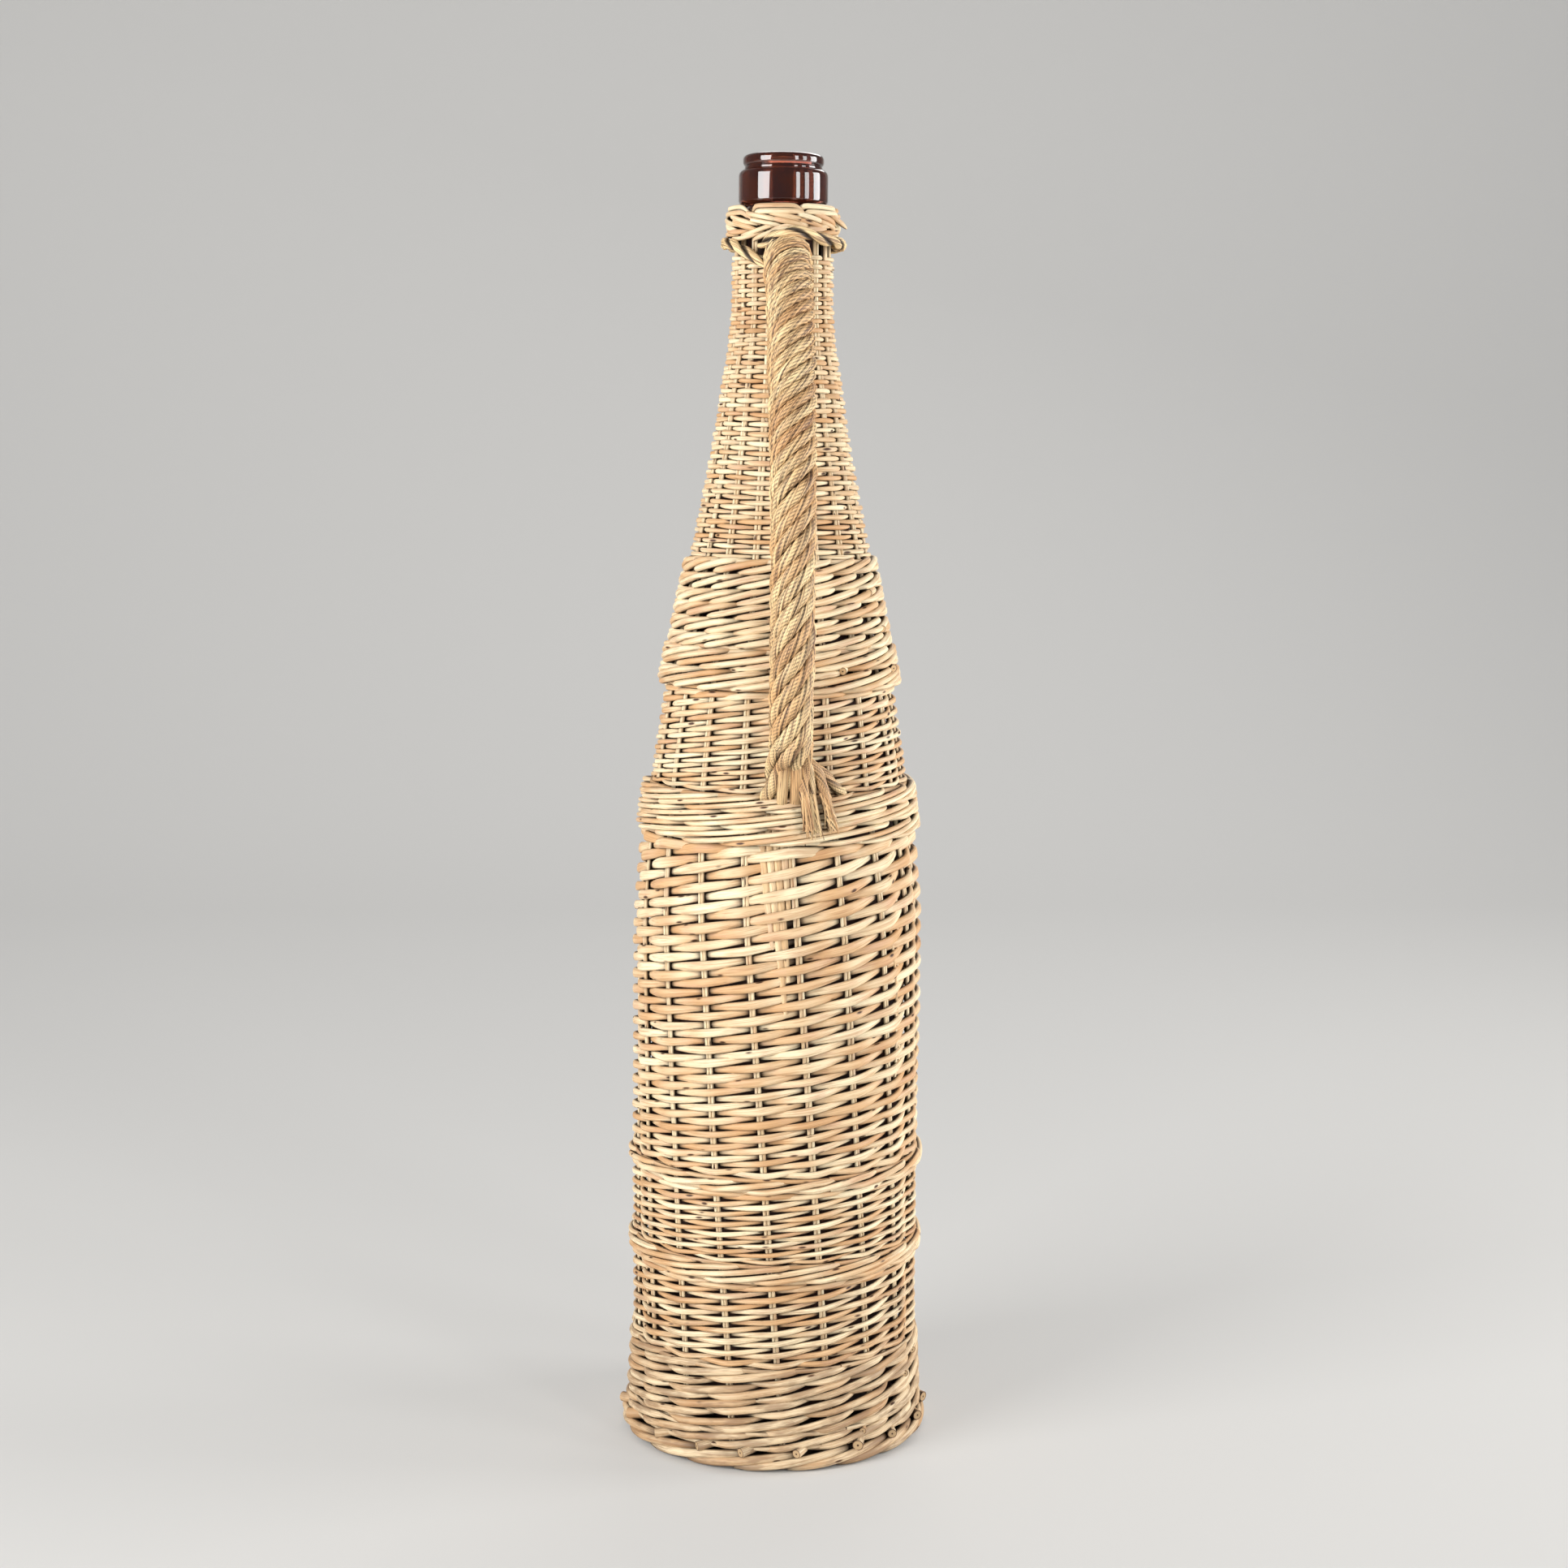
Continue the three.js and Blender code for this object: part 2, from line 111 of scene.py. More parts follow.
def eased(values: Array) -> Array:
    """Returns shares from 0 to 1, eased in and out."""
    share = np.clip(values, 0, 1)
    return share * share * (3 - 2 * share)


def run_lengths(path: Array) -> Array:
    """Returns the distance along a path at each of its points."""
    return np.concatenate([[0], np.cumsum(np.linalg.norm(np.diff(path, axis=0), axis=1))])


def route(corners: Array, step: float, rounding: int) -> Array:
    """Leads a rod past a row of points.

    Args:
        corners: points that a rod is led by.
        step: distance between the points of the result.
        rounding: how many of them each corner is rounded over.

    Returns:
        A smooth path from the first corner to the last.
    """
    places = run_lengths(corners)
    even = np.linspace(0, places[-1], max(int(places[-1] / step), 2) + 1)
    rows = np.stack([np.interp(even, places, corners[:, axis]) for axis in range(3)], axis=-1)
    soft = np.stack([smoothed(rows[:, axis], rounding) for axis in range(3)], axis=-1)
    order = np.arange(len(rows))
    ease = np.clip(np.minimum(order, order[::-1]) / rounding, 0, 1)[:, None]
    return rows * (1 - ease) + soft * ease


class Wobble:
    """A slow, uneven wave, so that no two rods lie alike."""

    WAVES = 4
    LONGEST = 5  # the longest wave, for 1 as the shortest

    def __init__(self, rng: np.random.Generator, length: float) -> None:
        """Draws the waves, the shortest of about the given length in the units that it is asked in."""
        self.rates = TURN / length / rng.uniform(1, self.LONGEST, self.WAVES)
        self.phases = rng.uniform(0, TURN, self.WAVES)

    def at(self, places: Array) -> Array:
        """Returns the wave at places along a rod, mostly between -1 and 1."""
        waves = [np.sin(places * rate + phase) for rate, phase in zip(self.rates, self.phases)]
        return np.sum(waves, axis=0) / math.sqrt(self.WAVES)


# The basket's form, read from the frame


class Node:
    """A frame node's corners as distances from the bottle's axis and heights."""

    LOOK_ANGLE = math.radians(0.5)  # just beside a corner of the node's facets
    LOOK_FROM = 1.0  # distance from the axis that its outside is looked at from

    def __init__(self, name: str) -> None:
        """Reads the node's mesh.

        Args:
            name: name of the frame node.
        """
        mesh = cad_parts[name].data
        corners = np.array([v.co for v in mesh.vertices])
        glass_low, glass_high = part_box("glass_bottle")
        self.tree = BVHTree.FromPolygons([v.co for v in mesh.vertices], [p.vertices for p in mesh.polygons])
        self.centre_y = (glass_low.y + glass_high.y) / 2
        self.radii = np.hypot(corners[:, 0], corners[:, 1] - self.centre_y)
        self.heights = corners[:, 2]
        self.low, self.high = float(self.heights.min()), float(self.heights.max())
        self.inner, self.outer = float(self.radii.min()), float(self.radii.max())

    @property
    def height(self) -> float:
        """How tall the node is."""
        return self.high - self.low

    def outside(self, z: float) -> float:
        """Measures the node's outside.

        Args:
            z: the height.

        Returns:
            Its radius there.
        """
        aim = Vector((math.cos(self.LOOK_ANGLE), math.sin(self.LOOK_ANGLE), 0))
        hit = self.tree.ray_cast(Vector((0, self.centre_y, z)) + self.LOOK_FROM * aim, -aim)
        return self.LOOK_FROM - hit[3]


class BasketForm:
    """Where everything in the basket lies: the axis, the glass, the stakes and the outside of each zone."""

    SAMPLE = 1 * MM  # height from one reading of the glass to the next
    HEEL = 14 * MM  # height of the glass's rounded heel
    ROUNDING = 26  # samples, over the corners of the frame's shoulder
    REACH = 8 * MM  # how far up and down a zone's outside is looked for
    SLOPE_REACH = 4 * MM  # how far up and down the glass's slope is read
    GAUGES = (0.12, 0.88)  # shares of a zone's height at which the stakes are set from its outside
    STAKE_HALF = 1.5 * MM  # half the depth of a stake
    TWIST = math.radians(20)  # how far the stakes lean round the bottle below the handle's foot

    def __init__(self, rod_depths: dict[str, Pair]) -> None:
        """Measures the frame.

        Args:
            rod_depths: depth of the rods at the bottom and the top of each zone that the stakes follow.
        """
        glass = Node("glass_bottle")
        self.centre_y = glass.centre_y
        self.heights = np.arange(glass.low + self.HEEL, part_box("neck_border")[1].z, self.SAMPLE)
        self.faceted = np.array([glass.outside(z) for z in self.heights])
        self.rounded = smoothed(self.faceted, self.ROUNDING)
        self.lean_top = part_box("shoulder_band")[1].z
        self.stake_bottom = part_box("upright_1")[0].z
        self.stake_places, self.stake_depths = [], []
        for name, (low, high) in rod_depths.items():
            zone = Node(name)
            for share in self.GAUGES:
                z = zone.low + zone.height * share
                self.stake_places.append(z)
                self.stake_depths.append(self.cover(zone, z) - low - (high - low) * share - self.STAKE_HALF)

    def glass(self, z: Array | float) -> Array:
        """Returns the glass's radius at heights."""
        return np.interp(z, self.heights, self.rounded)

    def cover(self, zone: Node, z: float) -> float:
        """Measures how far a zone's outside stands off the glass.

        Args:
            zone: the zone's frame node.
            z: the height.

        Returns:
            The distance near that height.
        """
        near = np.abs(zone.heights - z) < self.REACH
        near = near if near.any() else np.full(len(near), True)
        return float(np.max(zone.radii[near] - np.interp(zone.heights[near], self.heights, self.faceted)))

    def outside(self, zone: Node, z: float) -> float:
        """Returns a zone's outer radius at a height."""
        return float(np.interp(z, self.heights, self.faceted)) + self.cover(zone, z)

    def stake(self, z: Array | float) -> Array:
        """Returns the radius of the stakes' middles at heights."""
        return self.glass(z) + np.interp(z, self.stake_places, self.stake_depths)

    def stake_angle(self, place: Array | float, z: Array | float) -> Array:
        """Returns the angles round the bottle of places that are counted in stakes, at heights."""
        lean = np.maximum(self.lean_top - z, 0) / (self.lean_top - self.stake_bottom)
        return TURN * place / STAKES + self.TWIST * lean

    def points(self, radius: Array, angle: Array, z: Array) -> Array:
        """Returns the points at distances from the axis, angles round it and heights."""
        radius, angle, z = np.broadcast_arrays(radius, angle, z)
        return np.stack([radius * np.sin(angle), self.centre_y - radius * np.cos(angle), z], axis=-1)

    def outward(self, angle: Array, z: Array) -> Array:
        """Finds the directions straight off the glass.

        Args:
            angle: angles round the bottle.
            z: heights.

        Returns:
            The directions straight off the glass there.
        """
        angle, z = np.broadcast_arrays(angle, z)
        rise = self.glass(z + self.SLOPE_REACH) - self.glass(z - self.SLOPE_REACH)
        slope = rise / (2 * self.SLOPE_REACH)
        return unit(np.stack([np.sin(angle), -np.cos(angle), -slope], axis=-1))


# Rods


@dataclass
class Rod:
    """One rod along a path, with an oval section that is turned to face outwards."""

    path: Array
    outward: Array
    half_depth: Array
    half_height: Array
    tone: float  # 0 for a pale rod, 1 for a warm one
    inner: Array | float = 0.0  # how far inside the basket it lies, 0 to 1, which paints it in shade
    squareness: float = 2.3  # 2 for an oval section, and more for a fuller one
    sides: int = 10
    ridges: int = 0
    ridge_depth: float = 0.0  # for 1 as its half thickness
    furrow_shade: float = 0.0  # how much painted shade lies between its ridges
    twist: float = 0.0  # of its ridges and its grain, for each metre
    phase: float = 0.0  # angle that its ridges start at

    EVEN, UNEVEN = 0.6, 0.4  # shares of its even ridges, and of the fewer ones that make them uneven
    FEWER, UNEVEN_PHASE = 3, 1.3

    def angles(self) -> Array:
        """Returns the angles round the rod, from the side that faces the glass."""
        return TURN * np.arange(self.sides) / self.sides - math.pi

    def swell(self) -> Array:
        """Works out the ridges' waves.

        Returns:
            The waves round the rod, -1 to 1, one row for each point of the path.
        """
        turned = self.angles()[None, :] + self.twist * run_lengths(self.path)[:, None] + self.phase
        uneven = np.cos((self.ridges - self.FEWER) * turned + self.UNEVEN_PHASE)
        return self.EVEN * np.cos(self.ridges * turned) + self.UNEVEN * uneven

    def rings(self) -> Array:
        """Works out the rod's surface.

        Returns:
            The rings of points round it, one for each point of the path.
        """
        along = unit(np.gradient(self.path, axis=0))
        up = unit(np.cross(along, self.outward))
        out = np.cross(up, along)
        angles = self.angles()
        power = 2 / self.squareness
        across = np.sign(np.cos(angles)) * np.abs(np.cos(angles)) ** power
        rise = np.sign(np.sin(angles)) * np.abs(np.sin(angles)) ** power
        swell = 1 + self.ridge_depth * self.swell()
        depth = (self.half_depth[:, None] * across[None, :] * swell)[:, :, None]
        height = (self.half_height[:, None] * rise[None, :] * swell)[:, :, None]
        return self.path[:, None, :] + depth * out[:, None, :] + height * up[:, None, :]


class RodBundle:
    """Rods that become one piece. Each keeps its tone, and its UV map is in metres round and along it."""

    GROOVE_SHADE = 0.85  # how much painted shade the side that faces the glass gets, as though it lay inside the basket
    GROOVE_START, GROOVE_BLEND = 0.6, 0.95  # where that side begins, and how softly, as cosines
    FURROW_START = 0.35  # height of the ridges below which a furrow gets painted shade
    GRAIN_SHIFT = 9  # metres that the grain of two rods may be apart
    CUT_EDGE = 1 * MM  # where the edge of every cut end lies on the UV map
    # A butt, in half thicknesses: how deep its end is seated, and how far it goes in, along and up
    BUTT_SEAT, BUTT_IN, BUTT_ALONG, BUTT_UP = 0.5, 4.6, 4.0, 0.5
    BUTT_POINTS = 7

    def __init__(self, name: str, form: BasketForm, seed: int) -> None:
        """Starts the piece.

        Args:
            name: name of the piece.
            form: where the basket's parts lie.
            seed: seed of its random numbers.
        """
        self.name = name
        self.form = form
        self.rng = np.random.default_rng(seed)
        self.points: list[Array] = []
        self.quads: list[Array] = []
        self.quad_uvs: list[Array] = []
        self.fans: list[Array] = []
        self.fan_uvs: list[Array] = []
        # inner holds each point's painted shade: how far it is darkened towards the Shade colour
        self.values: dict[str, list[Array]] = {"tone": [], "inner": [], "cut": []}
        self.count = 0

    def lay(
        self, angle: Array, radius: Array, z: Array, half_depth: Array | float,
        half_height: Array | float | None = None, level: bool = False, **section: object,
    ) -> None:
        """Lays a rod round the bottle.

        Args:
            angle: angles of its points.
            radius: their distances from the axis.
            z: their heights.
            half_depth: half its depth.
            half_height: half its height, or None for a round rod.
            level: whether it faces straight away from the axis, not off the slope of the glass.
            section: what else its section has.
        """
        path = self.form.points(radius, angle, z)
        flat = self.form.points(1, angle, 0) - self.form.points(0, angle, 0)
        outward = flat if level else self.form.outward(angle, z)
        depth = np.broadcast_to(half_depth, len(path))
        height = depth if half_height is None else np.broadcast_to(half_height, len(path))
        section.setdefault("tone", self.rng.uniform(0, 1))
        self.add(Rod(path, np.broadcast_to(outward, path.shape), depth, height, **section))

    def butt(self, angle: float, outer: float, z: float, half: float) -> None:
        """Lays a short rod that goes in between others, with its cut end facing out to the left.

        Args:
            angle: angle of its cut end.
            outer: radius that the end reaches.
            z: its height.
            half: half its thickness.
        """
        share = np.linspace(0, 1, self.BUTT_POINTS)
        radius = outer - self.BUTT_SEAT * half - self.BUTT_IN * half * share
        angles = angle + share * self.BUTT_ALONG * half / outer
        up = z + self.BUTT_UP * half * share
        self.lay(angles, radius, up, half, level=True, squareness=2.0, sides=14)

    def add(self, rod: Rod) -> None:
        """Adds a rod's faces, with its ends closed.

        Args:
            rod: the rod.
        """
        rings = rod.rings()
        steps, sides = rings.shape[:2]
        index = self.count + np.arange(steps * sides).reshape(steps, sides)
        after = np.roll(index, -1, axis=1)
        self.quads.append(np.stack([index[:-1], after[:-1], after[1:], index[1:]], axis=-1).reshape(-1, 4))
        half = float(np.mean((rod.half_depth + rod.half_height) / 2))
        lengths = run_lengths(rod.path)
        v = lengths + self.rng.uniform(0, self.GRAIN_SHIFT)
        u = TURN * half * np.arange(sides + 1) / sides + half * rod.twist * lengths[:, None]
        uvs = np.empty((steps - 1, sides, 4, 2))
        uvs[..., 0] = np.stack([u[:-1, :-1], u[:-1, 1:], u[1:, 1:], u[1:, :-1]], axis=-1)
        uvs[..., 1] = np.stack([v[:-1], v[:-1], v[1:], v[1:]], axis=-1)[:, None, :]
        self.quad_uvs.append(uvs.reshape(-1, 2))
        # Painted shade: the side that faces the glass, the furrows between ridges and the parts deep in the
        # basket
        groove = self.GROOVE_SHADE * eased((self.GROOVE_START - np.cos(rod.angles())) / self.GROOVE_BLEND)
        furrow_shade = rod.furrow_shade * eased(self.FURROW_START - rod.swell())
        inner = 1 - (1 - np.broadcast_to(rod.inner, steps)[:, None]) * (1 - groove) * (1 - furrow_shade)
        self._store(rings.reshape(-1, 3), rod.tone, inner.ravel(), 0.0)
        self._cap(rod, rings[0][::-1], rod.path[0])
        self._cap(rod, rings[-1], rod.path[-1])

    def _store(self, points: Array, tone: float, inner: Array, cut: float) -> None:
        """Keeps points and their values for the mesh.

        Args:
            points: points to add.
            tone: their rod's tone.
            inner: how far into the basket each lies, which paints it in shade.
            cut: 1 on a cut end.
        """
        self.points.append(points)
        for name, values in (("tone", tone), ("inner", inner), ("cut", cut)):
            self.values[name].append(np.broadcast_to(values, len(points)))
        self.count += len(points)

    def _cap(self, rod: Rod, ring: Array, middle: Array) -> None:
        """Closes an end.

        Args:
            rod: the rod that the end belongs to.
            ring: the end's ring of points, in the order that faces out.
            middle: the end's middle.
        """
        sides = len(ring)
        around = self.count + np.arange(sides)
        hub = np.full(sides, self.count + sides)
        self.fans.append(np.stack([around, np.roll(around, -1), hub], axis=-1))
        # A cut end takes its rod's mean painted shade
        self._store(np.vstack([ring, middle]), rod.tone, np.full(sides + 1, float(np.mean(rod.inner))), 1.0)
        angles = TURN * np.arange(sides + 1) / sides
        edge = np.stack([np.cos(angles), np.sin(angles)], axis=-1) * self.CUT_EDGE
        self.fan_uvs.append(np.stack([edge[:-1], edge[1:], np.zeros((sides, 2))], axis=1).reshape(-1, 2))

    def piece(self, slot: Slot, *nodes: str) -> Piece:
        """Makes the mesh and puts the piece on the frame.

        Args:
            slot: the record's slot for its finish.
            nodes: the frame nodes that it stands for.

        Returns:
            The piece.
        """
        mesh = bpy.data.meshes.new(self.name)
        faces = np.concatenate(self.quads).tolist() + np.concatenate(self.fans).tolist()
        mesh.from_pydata(np.concatenate(self.points).tolist(), [], faces)
        mesh.uv_layers.new(name="UVMap")
        uvs = np.concatenate(self.quad_uvs + self.fan_uvs).astype(np.float32)
        mesh.uv_layers[0].data.foreach_set("uv", uvs.ravel())
        for name, parts in self.values.items():
            attribute = mesh.attributes.new(name=name, type="FLOAT", domain="POINT")
            attribute.data.foreach_set("value", np.concatenate(parts).astype(np.float32))
        mesh.polygons.foreach_set("use_smooth", [True] * len(mesh.polygons))
        mesh.update()
        return settle(linked(self.name, mesh), slot, *nodes)


def linked(name: str, data: bpy.types.ID) -> Piece:
    """Puts a new object into the scene.

    Args:
        name: its name.
        data: the mesh, light or camera that it shows.

    Returns:
        The object.
    """
    obj = bpy.data.objects.new(name, data)
    bpy.context.scene.collection.objects.link(obj)
    return obj


def settle(obj: Piece, slot: Slot, *nodes: str) -> Piece:
    """Puts a finished piece on the frame.

    Args:
        obj: the piece.
        slot: the record's slot for its finish.
        nodes: the frame nodes that it stands for.

    Returns:
        The piece.
    """
    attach(obj, BODY)
    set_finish(obj, slot.value)
    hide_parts(*nodes)
    return obj


def select_nothing() -> None:
    """Deselects everything, because an operator acts on all that is selected."""
    for obj in bpy.context.selected_objects:
        obj.select_set(False)
    bpy.context.view_layer.objects.active = None


def select_edges(obj: Piece, wanted: Callable[[Vector, Vector], bool]) -> None:
    """Selects edges of the active object by their place, and leaves it in edit mode.

    Args:
        obj: the object, in object mode.
        wanted: says from an edge's two ends whether it is selected.
    """
    bpy.ops.object.mode_set(mode="EDIT")
    bpy.ops.mesh.select_all(action="DESELECT")
    bpy.ops.object.mode_set(mode="OBJECT")
    corners = obj.data.vertices
    for edge in obj.data.edges:
        edge.select = wanted(*(corners[v].co for v in edge.vertices))
    bpy.ops.object.mode_set(mode="EDIT")


# Woven zones


@dataclass
class Rand:
    """A woven zone: one weaver to each stake, all climbing together, before one and behind the next."""

    node: str
    rows: int  # stakes that each weaver passes on its way up
    spread: float = 1.0  # row pitch at the bottom for 1 at the top
    depths: Pair = (3.5 * MM, 3.5 * MM)  # of its rods, at the bottom and the top
    rod_share: float = 1.1  # a rod's height for a row pitch of 1, where it lies outside
    squareness: float = 2.6  # how full its rods' section is
    unevenness: float = 1.0  # how unevenly it is woven, for 1 as usual
    seed: int = 1
    sides: int = 10
    steps: int = 8  # from one stake to the next
    stiffness: float = 0.7  # how straight a weaver runs between two stakes
    end_reach: float = 0.7  # how far a weaver runs on past the zone's edges, in stakes
    level: bool = False  # whether each row runs level all round, and the next one the other way in and out
    liners: bool = False  # whether its weavers part round the liners beside the first stake
    liner_bottom: float = 330 * MM  # height that they begin to part at
    liner_pull: float = 0.45  # how far they are drawn aside at the top, where 1 is not at all
    liner_rise: float = 1.6  # how soon they are, on the way up

    EDGE = 0.55  # room beyond the middles of the lowest and the highest row, in rows
    DIP, RING_DIP = 0.1, 0.3  # how far climbing and level rows dip and rise, in rows
    RING_END = 0.02  # how far the ends of a level row stop short, in stakes
    ROW_WAVE, ROD_WAVE = 5.0, 2.3  # shortest waves of the rows, and of one rod in its row, in stakes
    THINNER, THICKER = 0.09, 0.07  # how far a rod's thickness may be off
    STRAY = 0.07  # how far a rod strays from its row, in rows
    PINCH = 0.16  # how much of its height a rod loses halfway in
    LUMP, LUMP_RATE = 0.05, 0.7  # how much its height varies, and how quickly along it
    BULGE, BULGE_RATE = 0.12 * MM, 1.7  # how far it stands off or in, and how quickly that changes along it
    DEEP = 0.5  # how far in its painted shade begins

    def build(self, form: BasketForm) -> Piece:
        """Weaves the zone.

        Args:
            form: where the basket's parts lie.

        Returns:
            The woven zone.
        """
        bundle = RodBundle(f"woven_{self.node}", form, self.seed)
        zone = Node(self.node)
        dips = Wobble(bundle.rng, self.ROW_WAVE)
        if self.level:
            for row in range(self.rows + 1):
                self._ring(bundle, zone, row, dips)
        else:
            for weaver in range(STAKES):
                self._weaver(bundle, zone, weaver, dips)
        return bundle.piece(Slot.WILLOW, self.node)

    def _weaver(self, bundle: RodBundle, zone: Node, weaver: int, dips: Wobble) -> None:
        """Lays one weaver from the bottom of the zone to its top.

        Args:
            bundle: the rods of the zone.
            zone: the zone's frame node.
            weaver: which weaver.
            dips: how the rows dip and rise round the basket.
        """
        count = int(round((self.rows + 2 * self.end_reach) * self.steps))
        place = np.linspace(-self.end_reach, self.rows + self.end_reach, count + 1)
        share = np.clip(place / self.rows, 0, 1)
        middle = (1 + self.spread) / 2
        mean_pitch = zone.height / (self.rows + 2 * self.EDGE)
        pitch = mean_pitch * (self.spread + (1 - self.spread) * share) / middle
        climb = (self.spread * share + (1 - self.spread) * share**2 / 2) / middle
        z = zone.low + pitch[0] * self.EDGE + mean_pitch * self.rows * climb
        z = z + self.DIP * pitch * self.unevenness * dips.at(place + weaver) * np.sin(math.pi * share)
        bend = place
        if self.liners:
            gap = np.floor(place + weaver) % STAKES == STAKES - 1
            up = (z - self.liner_bottom) / (zone.high - self.liner_bottom)
            pull = 1 + (self.liner_pull - 1) * eased(up * self.liner_rise)
            bend = np.where(gap, np.floor(place) + (place - np.floor(place)) ** pull, place)
        self._bend(bundle, weaver + place, bend, z, pitch, share)

    def _ring(self, bundle: RodBundle, zone: Node, row: int, dips: Wobble) -> None:
        """Lays one level row, whose ends meet behind a stake at the back.

        Args:
            bundle: the rods of the zone.
            zone: the zone's frame node.
            row: which row, from the bottom.
            dips: how the rows dip and rise round the basket.
        """
        start = STAKES // 2 + row % 2
        place = start + np.linspace(self.RING_END, STAKES - self.RING_END, STAKES * self.steps)
        share = np.full(len(place), row / self.rows)
        pitch = np.full(len(place), zone.height / (self.rows + 1))
        dip = self.RING_DIP * self.unevenness * dips.at(place) * math.sin(math.pi * row / self.rows)
        z = zone.low + pitch * (row + 0.5 + dip)
        self._bend(bundle, place, place + row, z, pitch, share)

    def _bend(
        self, bundle: RodBundle, place: Array, bend: Array, z: Array, pitch: Array, share: Array
    ) -> None:
        """Lays a rod that goes in and out between the stakes.

        Args:
            bundle: the rods of the zone.
            place: places of its points, in stakes.
            bend: where it lies outside, at even numbers, and inside, at odd ones.
            z: heights of its points.
            pitch: row pitch there.
            share: how far up the zone they are.
        """
        form, rng = bundle.form, bundle.rng
        own = Wobble(rng, self.ROD_WAVE)
        thick = rng.uniform(1 - self.THINNER * self.unevenness, 1 + self.THICKER * self.unevenness)
        z = z + self.STRAY * pitch * self.unevenness * own.at(place)
        tent = 2 * np.abs(bend % 2 - 1) - 1
        wave = self.stiffness * tent + (1 - self.stiffness) * np.cos(math.pi * bend)
        depth = (self.depths[0] + (self.depths[1] - self.depths[0]) * share) / 2 * thick
        height = self.rod_share * pitch / 2 * thick * (1 - self.PINCH + self.PINCH * wave)
        height = height * (1 + self.LUMP * own.at(place * self.LUMP_RATE))
        bulge = self.BULGE * own.at(place * self.BULGE_RATE)
        radius = form.stake(z) + wave * (form.STAKE_HALF + depth) + bulge
        # Painted shade on the part that goes in behind a stake
        inner = eased((-wave - self.DEEP) / (1 - self.DEEP))
        shape = {"inner": inner, "sides": self.sides, "squareness": self.squareness}
        bundle.lay(form.stake_angle(place, z), radius, z, depth, height, **shape)


